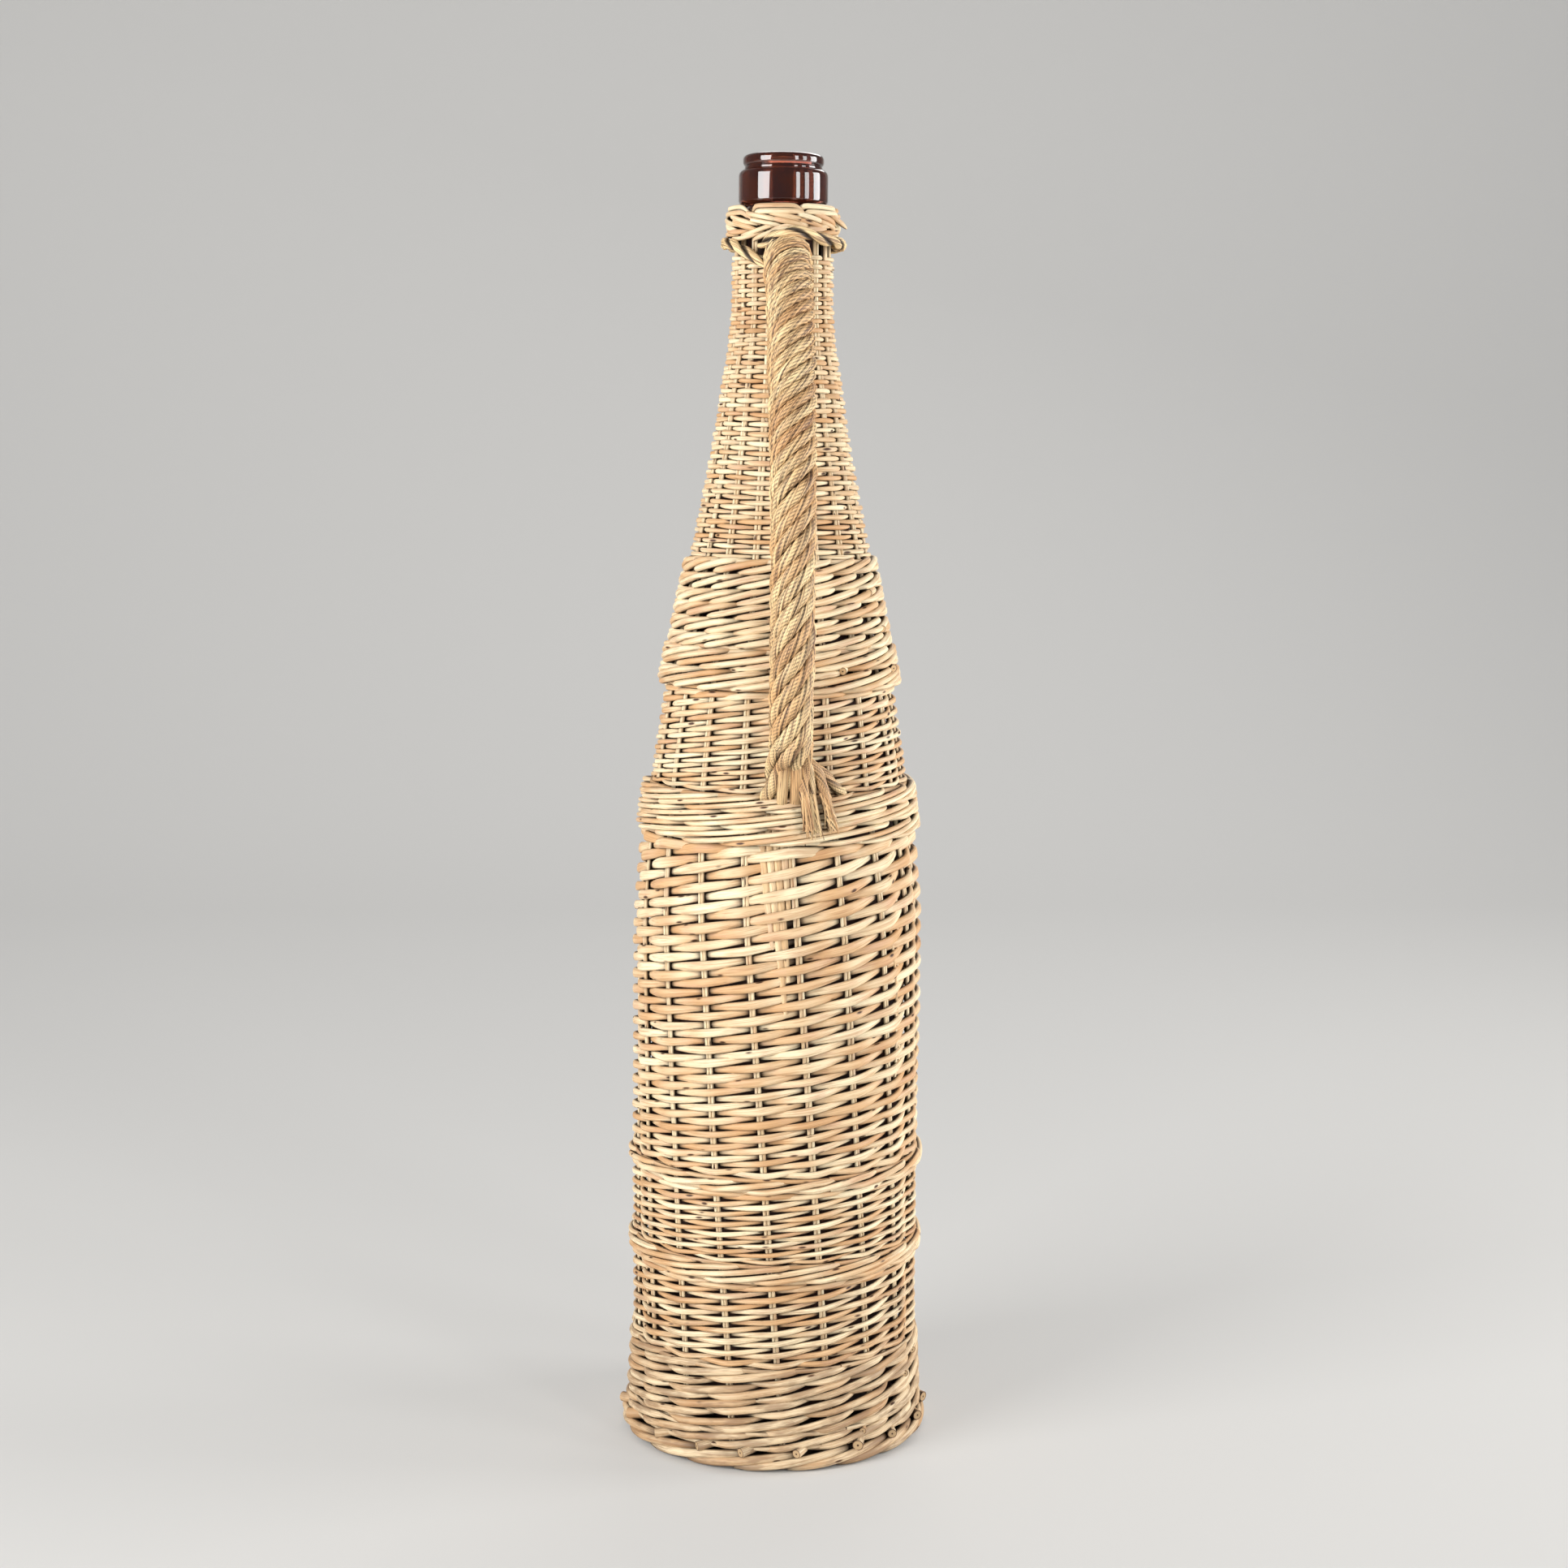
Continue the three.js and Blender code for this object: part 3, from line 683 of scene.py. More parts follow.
@dataclass
class Wale:
    """A waled band: heavier rods that each pass in front of two or more stakes and behind one."""

    node: str
    courses: int
    run: int  # stakes that a rod passes in front of
    depth: float  # of its rods
    rod_share: float = 0.96  # a rod's height for the room that it has
    seed: int = 1
    slot: Slot = Slot.WILLOW
    sides: int = 12
    steps: int = 9  # from one stake to the next
    squareness: float = 2.1  # how full its rods' section is
    wander: float = 0.12  # how unevenly its rods lie, in rod heights
    taper: float = 0.55  # how much thinner its rods are where they go in
    # How far each rod starts below its row and ends above it, in rod heights
    laps: Pair = (0.8, 0.6)
    # Place and share of the height of the cut ends that show
    cut_ends: tuple[Pair, ...] = ()
    packing_half: float = 1.4 * MM
    # Shares of its height at which slim rods lie behind the strokes
    packings: tuple[float, ...] = (0.0, 1.0)

    TONE, TONE_SPREAD = 0.75, 0.15  # the warmest course's tone, and how far a rod may be off its course's
    COURSE_WAVE = 4.0  # shortest wave of a course, in stakes
    TIP = 0.12  # how far behind its stakes a rod's ends are, in stakes
    TILT = 0.05  # how far a rod climbs where it lies in front, in rod heights
    OUT_START, OUT_LENGTH = 0.16, 0.86  # where a rod begins to come out, and over what length, in stakes
    IN_END, IN_LENGTH = 0.14, 0.8  # where it has gone in, and over what length
    THICKNESS = (0.92, 1.08)  # the thinnest and the thickest rod, for 1 as usual
    FULLNESS = 0.8  # a rod thickens sooner on its way out, the lower this is
    ROD_WANDER = 0.6  # what of the wandering each rod does by itself
    LIFT = (-0.35, 0.15)  # how deep and how far out a rod may lie, in millimetres
    SHADE_FADE = 1.7  # how soon its painted shade ends on the way out
    FLATTENING = 0.3  # how much less deep a rod is where it is inside
    CUT_REACH, CUT_SHARE = 0.4 * MM, 0.46  # how far a cut end stands out, and its half width in depths
    PACKING_START, PACKING_END = 0.3, 0.28  # of a packing rod that runs once round, in stakes
    PACKING_STRAY, PACKING_WAVE, PACKING_HEIGHT = 0.2, 1.5, 1.2

    def build(self, form: BasketForm) -> Piece:
        """Lays the band course by course.

        Args:
            form: where the basket's parts lie.

        Returns:
            The band.
        """
        bundle = RodBundle(f"waled_{self.node}", form, self.seed)
        zone = Node(self.node)
        tones = bundle.rng.uniform(0, self.TONE, (self.courses, self.run + 1))
        for course in range(self.courses):
            level = Wobble(bundle.rng, self.COURSE_WAVE)
            for stroke in range(STAKES):
                tone = float(tones[course, stroke % (self.run + 1)])
                self._stroke(bundle, zone, course, stroke, tone, level)
        for share in self.packings:
            rise = share * (zone.height - 2 * self.packing_half)
            self._packing(bundle, zone.low + self.packing_half + rise)
        for place, share in self.cut_ends:
            z = zone.low + zone.height * share
            angle = float(form.stake_angle(place, z))
            bundle.butt(angle, form.outside(zone, z) + self.CUT_REACH, z, self.depth * self.CUT_SHARE)
        return bundle.piece(self.slot, self.node)

    def _packing(self, bundle: RodBundle, z: float) -> None:
        """Lays a slim rod all round the stakes, behind the strokes, which closes the band's gaps.

        Args:
            bundle: the rods of the band.
            z: the rod's height.
        """
        form, half = bundle.form, self.packing_half
        place = np.linspace(self.PACKING_START, STAKES + self.PACKING_END, STAKES * 5)
        z = z + self.PACKING_STRAY * half * Wobble(bundle.rng, self.PACKING_WAVE).at(place)
        radius = form.stake(z) + form.STAKE_HALF + half
        height = self.PACKING_HEIGHT * half
        # The packing rod gets a little painted shade
        bundle.lay(form.stake_angle(place, z), radius, z, half, height, inner=0.25, sides=8)

    def _stroke(
        self, bundle: RodBundle, zone: Node, course: int, stroke: int, tone: float, level: Wobble
    ) -> None:
        """Lays one rod from behind a stake to behind the stake after its run.

        Args:
            bundle: the rods of the band.
            zone: the band's frame node.
            course: which course, from the bottom.
            stroke: the stake that it starts behind.
            tone: the rod's tone.
            level: how the course dips and rises.
        """
        form, rng = bundle.form, bundle.rng
        room = zone.height / (self.courses * self.run)
        bottom = zone.low + course * self.run * room
        reach = self.run + 1
        place = np.linspace(self.TIP, reach - self.TIP, reach * self.steps + 1)
        start, end = self.laps
        climb = [-start, -self.TILT, self.run - (1 - self.TILT), self.run - 1 + end]
        rise = np.interp(place, [0, 1, self.run, reach], climb)
        in_front = eased((place - self.OUT_START) / self.OUT_LENGTH)
        in_front = in_front * eased((reach - self.IN_END - place) / self.IN_LENGTH)
        thick = rng.uniform(*self.THICKNESS)
        height = self.rod_share * room / 2 * thick * (1 - self.taper * (1 - in_front**self.FULLNESS))
        z = bottom + room * (rise + 0.5)
        z = z + room * self.wander * (level.at(place + stroke) + self.ROD_WANDER * rng.uniform(-1, 1))
        half = self.depth / 2 * thick
        outside = form.glass(z) + form.cover(zone, bottom + room * self.run / 2) - half
        inside = form.stake(z) - form.STAKE_HALF - half
        radius = inside + (outside - inside) * in_front + rng.uniform(*self.LIFT) * MM
        angle = form.stake_angle(stroke + place, z)
        tone = float(np.clip(tone + rng.uniform(-self.TONE_SPREAD, self.TONE_SPREAD), 0, 1))
        # Painted shade on the ends that go in behind the stakes
        shape = {"tone": tone, "inner": eased(1 - self.SHADE_FADE * in_front)}
        shape |= {"sides": self.sides, "squareness": self.squareness}
        depth = half * (1 - self.FLATTENING + self.FLATTENING * in_front)
        bundle.lay(angle, radius, z, depth, height, **shape)


# Uprights


@dataclass
class Uprights:
    """The stakes: a pair of slim rods to each, side by side, from the foot to the neck border."""

    half_width: float = 1.2 * MM  # of one slim rod
    step: float = 7 * MM  # from one of a rod's points to the next
    seed: int = 40
    # Stake, and place and height of both ends, of the slim rods that lean out of line between two stakes
    strays: tuple[tuple[int, float, float, float, float], ...] = (
        (3, 2.72, 432 * MM, 2.25, 262 * MM),
        (3, 2.3, 384 * MM, 2.55, 236 * MM),
        (14, 13.45, 196 * MM, 13.7, 84 * MM),
    )

    ABOVE = 4 * MM  # how far they run on inside the neck border
    THICKNESS = (0.92, 1.06)  # the thinnest and the thickest rod, for 1 as usual
    WARMEST = 0.6  # the warmest rod's tone
    DEEP = 0.1  # how much painted shade they get, as though they lay this far inside the basket
    BEND_LENGTH, BEND_OUT, BEND_ASIDE = 60 * MM, 0.25 * MM, 0.15 * MM
    APART = 0.94  # half the distance of a pair's middles, for 1 as a rod's half width
    STRAY_HALF, STRAY_POINTS = 1.35 * MM, 24
    STRAY_DEPTH = 0.6 * MM  # how far behind the stakes' middles a stray rod lies
    STRAY_LENGTH, STRAY_BEND = 50 * MM, 0.8 * MM

    def build(self, form: BasketForm) -> list[Piece]:
        """Sets the stakes.

        Args:
            form: where the basket's parts lie.

        Returns:
            One piece for each stake.
        """
        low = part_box("upright_1")[0].z
        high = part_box("upright_1")[1].z + self.ABOVE
        z = np.linspace(low, high, int((high - low) / self.step))
        pieces = []
        for stake in range(STAKES):
            bundle = RodBundle(f"stake_{stake + 1}", form, self.seed + stake)
            for side in (-1, 1):
                self._rod(bundle, stake, side, z)
            for owner, *ends in self.strays:
                if owner == stake:
                    self._stray(bundle, *ends)
            pieces.append(bundle.piece(Slot.UPRIGHT, f"upright_{stake + 1}"))
        return pieces

    def _rod(self, bundle: RodBundle, stake: int, side: int, z: Array) -> None:
        """Lays one rod of a stake's pair.

        Args:
            bundle: the stake's rods.
            stake: which stake.
            side: -1 for the rod at its left, 1 for the one at its right.
            z: heights of the rod's points.
        """
        form = bundle.form
        wave = Wobble(bundle.rng, self.BEND_LENGTH)
        thick = bundle.rng.uniform(*self.THICKNESS)
        radius = form.stake(z) + self.BEND_OUT * wave.at(z)
        aside = side * self.half_width * self.APART + self.BEND_ASIDE * wave.at(z + 1)
        angle = form.stake_angle(stake, z) + aside / radius
        # The rod gets a little painted shade
        shape = {"tone": bundle.rng.uniform(0, self.WARMEST), "inner": self.DEEP}
        bundle.lay(angle, radius, z, form.STAKE_HALF * thick, self.half_width * thick, **shape)

    def _stray(self, bundle: RodBundle, top_place: float, top: float, low_place: float, low: float) -> None:
        """Lays a rod that leans out of line.

        Args:
            bundle: the stake's rods.
            top_place: place of the rod's top.
            top: height of its top.
            low_place: place of its lower end.
            low: height of its lower end.
        """
        form = bundle.form
        z = np.linspace(low, top, self.STRAY_POINTS)
        place = low_place + (top_place - low_place) * (z - low) / (top - low)
        bend = self.STRAY_BEND * Wobble(bundle.rng, self.STRAY_LENGTH).at(z)
        radius = form.stake(z) - self.STRAY_DEPTH + bend
        # The stray rod gets a little painted shade
        bundle.lay(form.stake_angle(place, z), radius, z, self.STRAY_HALF, inner=self.DEEP, sides=8)


@dataclass
class Liners:
    """Thin rods pushed down beside the first stake, under the handle's foot."""

    count: int = 4
    half_width: float = 2.5 * MM
    half_depth: float = 1.5 * MM
    step: float = 6 * MM
    first: float = -0.66  # place of the first one's top, in stakes
    apart: float = 0.165  # from one's top to the next one's, in stakes
    gather: float = 0.2  # how far they draw in to the stake on their way down, in stakes
    gather_length: float = 150 * MM
    point: float = 0.6  # how wide the bottom end is, for 1 as usual
    point_length: float = 30 * MM
    # Warmer than the stakes': partly the rods' own brown, partly painted shade under the handle's foot
    tones: Pair = (0.5, 1.0)
    seed: int = 60

    def build(self, form: BasketForm) -> list[Piece]:
        """Pushes the rods in.

        Args:
            form: where the basket's parts lie.

        Returns:
            One piece for each rod.
        """
        pieces = []
        for k in range(self.count):
            node = f"handle_liner_{k + 1}"
            low, high = (corner.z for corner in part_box(node))
            z = np.linspace(low, high, int((high - low) / self.step))
            down = (high - z) / self.gather_length
            place = self.first + self.apart * k + self.gather * down * (1 - k / self.count)
            bundle = RodBundle(f"liner_{k + 1}", form, self.seed + k)
            half = self.half_width * np.interp(z - low, [0, self.point_length], [self.point, 1])
            # Each liner gets a little painted shade
            shape = {"tone": bundle.rng.uniform(*self.tones), "inner": 0.1}
            bundle.lay(form.stake_angle(place, z), form.stake(z), z, self.half_depth, half, **shape)
            pieces.append(bundle.piece(Slot.UPRIGHT, node))
        return pieces


# Borders and base


@dataclass
class FootBorder:
    """The rolled border that the bottle stands on: thick weathered rods, each with its cut butt showing."""

    rod_half: float = 3.1 * MM
    run: float = 2.3  # stakes that a rod passes
    seed: int = 50
    butt_half: float = 4.0 * MM
    core_rings: int = 4

    BUTT_PLACE, BUTT_SPREAD = 0.32, 0.12  # where a butt comes out beyond its stake, in stakes
    BUTT_RISE, BUTT_REACH = 0.4 * MM, 0.5 * MM  # how far it stands over and out from the border
    BUTT_LIFT = (-0.5, 0.6)  # how unevenly it does, in millimetres
    BUTT_SIZES, ROD_SIZES = (0.8, 1.08), (0.92, 1.06)  # smallest and largest, for 1 as usual
    ROUNDNESS, OVER, LEAN = 0.45, 0.5 * MM, 1.3 * MM  # of a roll's course over the outside
    FLATTENING = 0.25  # how much less high a roll is at its ends
    DEPTH = 0.95  # a rod's depth, for 1 as its height
    CORE_IN, CORE_PITCH = 2.6, 1.9  # how far in the first core ring and each next one lie, in half rods
    CORE_PARTS, CORE_LAP = 3, 0.1  # rods in a ring, and the angle that they overlap by
    CORE_SEAT, CORE_SWING, CORE_BEND = 0.3 * MM, 0.8 * MM, 0.4 * MM
    CORE_SHIFT = 300  # turns one ring's swing against the next one's

    def build(self, form: BasketForm) -> Piece:
        """Rolls the border.

        Args:
            form: where the basket's parts lie.

        Returns:
            The border.
        """
        bundle = RodBundle("foot_border_rods", form, self.seed)
        node = Node("foot_border")
        for stroke in range(STAKES):
            self._roll(bundle, stroke, node)
            place = stroke + self.BUTT_PLACE + bundle.rng.uniform(-self.BUTT_SPREAD, self.BUTT_SPREAD)
            angle = float(form.stake_angle(place, node.high))
            z = node.high + self.BUTT_RISE + bundle.rng.uniform(*self.BUTT_LIFT) * MM
            half = self.butt_half * bundle.rng.uniform(*self.BUTT_SIZES)
            bundle.butt(angle, node.outer + self.BUTT_REACH, z, half)
        for ring in range(self.core_rings):
            inwards = (self.CORE_IN + self.CORE_PITCH * ring) * self.rod_half
            self._core(bundle, node.low, node.outer - inwards)
        return bundle.piece(Slot.FOOT, "foot_border")

    def _roll(self, bundle: RodBundle, stroke: int, node: Node) -> None:
        """Lays a rod from under the border up over its outside.

        Args:
            bundle: the border's rods.
            stroke: which rod.
            node: the border's frame node.
        """
        place = np.linspace(0, self.run, 26)
        share = place / self.run
        half = self.rod_half * bundle.rng.uniform(*self.ROD_SIZES)
        bulge = np.sin(math.pi * share) ** self.ROUNDNESS
        z = node.low + half + (node.height - 2 * half + self.OVER) * eased(share)
        radius = node.outer - half - (1 - bulge) * 2 * half - share * self.LEAN
        angle = bundle.form.stake_angle(stroke + place, node.low)
        # Painted shade where the roll goes under
        shape = {"inner": 1 - bulge, "sides": 12, "squareness": 2.1}
        height = half * (1 - self.FLATTENING + self.FLATTENING * bulge)
        bundle.lay(angle, radius, z, half * self.DEPTH, height, level=True, **shape)

    def _core(self, bundle: RodBundle, low: float, radius: float) -> None:
        """Lays a ring of rods inside the border, which fills its underside.

        Args:
            bundle: the border's rods.
            low: height of the border's bottom.
            radius: radius of the ring's middle.
        """
        for part in range(self.CORE_PARTS):
            arc = TURN / self.CORE_PARTS + self.CORE_LAP
            angle = np.linspace(0, arc, 40) + TURN * part / self.CORE_PARTS
            swing = 1 + np.sin(angle * STAKES / 2 + radius * self.CORE_SHIFT)
            z = low + self.rod_half + self.CORE_SEAT + self.CORE_SWING * swing
            bend = self.CORE_BEND * Wobble(bundle.rng, 1.0).at(angle)
            # The core rings get painted shade
            bundle.lay(angle, radius + bend, z, self.rod_half * self.DEPTH, level=True, inner=0.6)


@dataclass
class NeckBorder:
    """The plait under the collar: slim rods in bundles along the rim, and over each other below it."""

    half: float = 1.55 * MM  # half the thickness of a rod
    sag: float = 5.5 * MM  # how far its lower rods hang down beside the handle
    sag_angle: float = math.radians(-50)
    sag_width: float = math.radians(34)
    rim_bundles: int = 6
    leaf_bundles: int = 13
    seed: int = 62

    # Of each part of the plait: how far its rods run, in starts, how far the second of a pair is turned on, the
    # lengths that its course is made of, and those that are counted in half rods
    RIM_RUN, RIM_SHIFT, RIM_START, RIM_SPREAD = 1.34, 0.06, 0.1, 0.07
    RIM_RISE, RIM_DIVE, RIM_SEAT, RIM_OUT = 7.5 * MM, 8.5 * MM, 5.6 * MM, 4.5 * MM
    RIM_SWELL, RIM_IN, RIM_TOP, RIM_PITCH = 2.4 * MM, 3 * MM, 1.15, 2.5
    LEAF_RUN, LEAF_SHIFT, LEAF_SPREAD, LEAF_DROPS = 1.7, 0.08, 0.14, (6, 9)
    LEAF_TOP, LEAF_TUCK, LEAF_STEP = 5.6 * MM, 4.2 * MM, 0.5 * MM
    LEAF_SEAT, LEAF_PITCH = 1.1, 2.7
    LOWER_RUN, LOWER_RISE, LOWER_TUCK, LOWER_STEP = 2.7, 3.8 * MM, 3.6 * MM, 0.4 * MM
    LOWER_SEAT, LOWER_PITCH = 1.6, 2.1
    STUB_ANGLE, STUB_RUN = math.radians(52), math.radians(24)
    STUB_TOP, STUB_FALL, STUB_SEAT, STUB_OUT = 5.5 * MM, 0.42, 3.5 * MM, 7.4 * MM
    FILL_GAP, FILL_STEP = 0.3 * MM, 0.8
    RIM_THICK, THICK = 1.2, 1.15  # thickness of the rim's rods and of the others, for 1 as the coil inside

    def build(self, form: BasketForm) -> Piece:
        """Plaits the border.

        Args:
            form: where the basket's parts lie.

        Returns:
            The border.
        """
        bundle = RodBundle("neck_border_plait", form, self.seed)
        node = Node("neck_border")
        rng = bundle.rng
        self._fill(bundle, node)
        for k in range(self.rim_bundles):
            start = k + self.RIM_START + rng.uniform(-self.RIM_SPREAD, self.RIM_SPREAD)
            self._rim(bundle, TURN * start / self.rim_bundles, node)
        for k in range(self.leaf_bundles):
            start = k + rng.uniform(-self.LEAF_SPREAD, self.LEAF_SPREAD)
            self._leaf(bundle, TURN * start / self.leaf_bundles, node)
        for k in range(STAKES // 2):
            for row in range(2):
                self._lower(bundle, TURN * (k + 0.5 * row) / (STAKES // 2), row, node)
        share = np.linspace(0, 1, 8)
        stub_z = node.high - self.STUB_TOP - node.height * self.STUB_FALL * share
        stub_radius = node.outer - self.STUB_SEAT + self.STUB_OUT * share
        self._rod(bundle, self.STUB_ANGLE + share * self.STUB_RUN, stub_radius, stub_z, self.THICK)
        return bundle.piece(Slot.WILLOW, "neck_border")

    @staticmethod
    def _tucked(share: Array) -> Array:
        """Returns how far in a short rod lies along its length, 1 at its ends and 0 in its middle."""
        return 1 - np.sin(math.pi * share) ** 0.6

    def _rod(
        self, bundle: RodBundle, angle: Array, radius: Array, z: Array, thick: float = 1.0, inner: float = 0.0
    ) -> None:
        """Lays one slim rod.

        Args:
            bundle: the border's rods.
            angle: angles of its points.
            radius: their distances from the axis.
            z: their heights.
            thick: its thickness for 1 as usual.
            inner: how far into the border it lies, which paints it in shade.
        """
        taper = np.interp(np.linspace(0, 1, len(angle)), [0, 0.2, 0.75, 1], [0.5, 1, 1, 0.45])
        half = self.half * thick * bundle.rng.uniform(0.9, 1.1) * taper
        bundle.lay(angle, radius, z, half, level=True, inner=inner, sides=8)

    def _rim(self, bundle: RodBundle, start: float, node: Node) -> None:
        """Lays a bundle that comes up from behind the one before, runs along the rim and dives down.

        Args:
            bundle: the border's rods.
            start: angle that it comes up at.
            node: the border's frame node.
        """
        share = np.linspace(0, 1, 26)
        rising, diving = 1 - eased(share / 0.22), eased((share - 0.7) / 0.3)
        coming_out, going_in = 1 - eased(share / 0.25), eased((share - 0.85) / 0.15)
        for rod in range(2):
            angle = start + share * (TURN / self.rim_bundles * self.RIM_RUN) + rod * self.RIM_SHIFT
            z = node.high - self.half * (self.RIM_TOP + self.RIM_PITCH * rod) - self.RIM_RISE * rising
            z = z - self.RIM_DIVE * diving
            radius = node.outer - self.RIM_SEAT + rod * self.half - self.RIM_OUT * coming_out
            radius = radius + self.RIM_SWELL * np.sin(math.pi * share) - self.RIM_IN * going_in
            self._rod(bundle, angle, radius, z, self.RIM_THICK)

    def _leaf(self, bundle: RodBundle, start: float, node: Node) -> None:
        """Lays a short bundle that slants down over the outside.

        Args:
            bundle: the border's rods.
            start: angle that it starts at.
            node: the border's frame node.
        """
        share = np.linspace(0, 1, 18)
        drop = bundle.rng.uniform(*self.LEAF_DROPS) * MM
        for rod in range(2):
            angle = start + share * (TURN / self.leaf_bundles * self.LEAF_RUN) + rod * self.LEAF_SHIFT
            z = node.high - self.LEAF_TOP - rod * self.LEAF_PITCH * self.half - drop * share
            radius = node.outer - self.half * self.LEAF_SEAT - self.LEAF_TUCK * self._tucked(share)
            self._rod(bundle, angle, radius - self.LEAF_STEP * rod, z, self.THICK)

    def _lower(self, bundle: RodBundle, start: float, row: int, node: Node) -> None:
        """Lays a rod that slants up at the border's bottom.

        Args:
            bundle: the border's rods.
            start: angle that it starts at.
            row: 0 for the bottom row, 1 for the one over it.
            node: the border's frame node.
        """
        share = np.linspace(0, 1, 16)
        angle = start + share * TURN / STAKES * self.LOWER_RUN
        aside = (angle - self.sag_angle + math.pi) % TURN - math.pi
        sag = self.sag * np.exp(-((aside / self.sag_width) ** 2))
        z = node.low + self.half * (1 + self.LOWER_PITCH * row) + self.LOWER_RISE * share - sag
        radius = node.outer - self.half * self.LOWER_SEAT - self.LOWER_TUCK * self._tucked(share)
        self._rod(bundle, angle, radius - self.LOWER_STEP * row, z, self.THICK)

    def _fill(self, bundle: RodBundle, node: Node) -> None:
        """Coils rods inside the border, between the glass and the plait.

        Args:
            bundle: the border's rods.
            node: the border's frame node.
        """
        inner = node.inner + self.FILL_GAP
        pitch = 2 * self.half
        rise = node.height - pitch
        for layer in range(int((node.outer - inner - pitch) / pitch)):
            angle = np.linspace(0, rise / pitch * TURN, int(rise / pitch * 40))
            z = node.low + self.half + rise * angle / angle[-1]
            z = np.minimum(z, node.high - self.half - layer * self.FILL_STEP * self.half)
            # The coil inside gets painted shade
            self._rod(bundle, angle, np.full(len(angle), inner + self.half + layer * pitch), z, inner=0.8)


@dataclass
class Base:
    """The woven bottom: weavers round and round over a cross of sticks."""

    half: float = 2.3 * MM  # half the thickness of a weaver
    seed: int = 70
    bevel: float = 1.2 * MM  # how far the sticks' edges are rounded
    inner: float = 24 * MM  # radius of the first round

    PITCH = 1.75  # from one round to the next, in half weavers
    LAP, POINTS = 1.02, 109  # turns that a round makes, and its points
    BEND, BEND_WAVE = 0.3 * MM, 1.3
    LONG_EDGE = 10 * MM  # no edge across a stick is as long

    def build(self, form: BasketForm) -> list[Piece]:
        """Builds the bottom.

        Args:
            form: where the basket's parts lie.

        Returns:
            The woven bottom and its sticks.
        """
        names = [f"base_stick_{layer}_{k + 1}" for layer in ("lower", "upper") for k in range(4)]
        sticks = [self._stick(name) for name in names]
        return [self._weave(form), *sticks]

    def _weave(self, form: BasketForm) -> Piece:
        """Weaves round after round over the sticks.

        Args:
            form: where the basket's parts lie.

        Returns:
            The woven bottom.
        """
        bundle = RodBundle("base_weave_rods", form, self.seed)
        node = Node("base_weave")
        outer = node.outer - self.half
        rounds = int((outer - self.inner) / (self.PITCH * self.half)) + 1
        for ring in range(rounds):
            radius = self.inner + (outer - self.inner) * ring / (rounds - 1)
            angle = np.linspace(0, TURN * self.LAP, self.POINTS)
            swing = (node.height / 2 - self.half) * np.cos(angle * STAKES / 2 + math.pi * (ring % 2))
            bend = self.BEND * Wobble(bundle.rng, self.BEND_WAVE).at(angle)
            path = form.points(radius + bend, angle + ring, 0)
            path[:, 2] = (node.low + node.high) / 2 + swing
            down = np.tile([0.0, 0.0, -1.0], (len(path), 1))
            half = np.full(len(path), self.half)
            # The bottom's weavers get a little painted shade
            bundle.add(Rod(path, down, half * 0.9, half, bundle.rng.uniform(0, 1), inner=0.2, sides=8))
        return bundle.piece(Slot.BASE, "base_weave")

    def _stick(self, node: str) -> Piece:
        """Models one base stick with its long edges rounded.

        Args:
            node: the frame node that it stands for.

        Returns:
            The stick.
        """
        low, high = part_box(node)
        select_nothing()
        bpy.ops.mesh.primitive_cube_add(size=1, location=(low + high) / 2, scale=high - low)
        stick = bpy.context.object
        stick.name = stick.data.name = node.replace("base_stick", "base_cross")
        bpy.ops.object.transform_apply(location=True, rotation=True, scale=True)
        select_edges(stick, lambda start, end: (end - start).length > self.LONG_EDGE)
        bpy.ops.mesh.bevel(offset=self.bevel, segments=3, affect="EDGES")
        bpy.ops.mesh.select_all(action="SELECT")
        bpy.ops.uv.cube_project(cube_size=1.0)
        bpy.ops.object.mode_set(mode="OBJECT")
        bpy.ops.object.shade_smooth_by_angle(angle=math.radians(40))
        return settle(stick, Slot.BASE, node)


# Handle


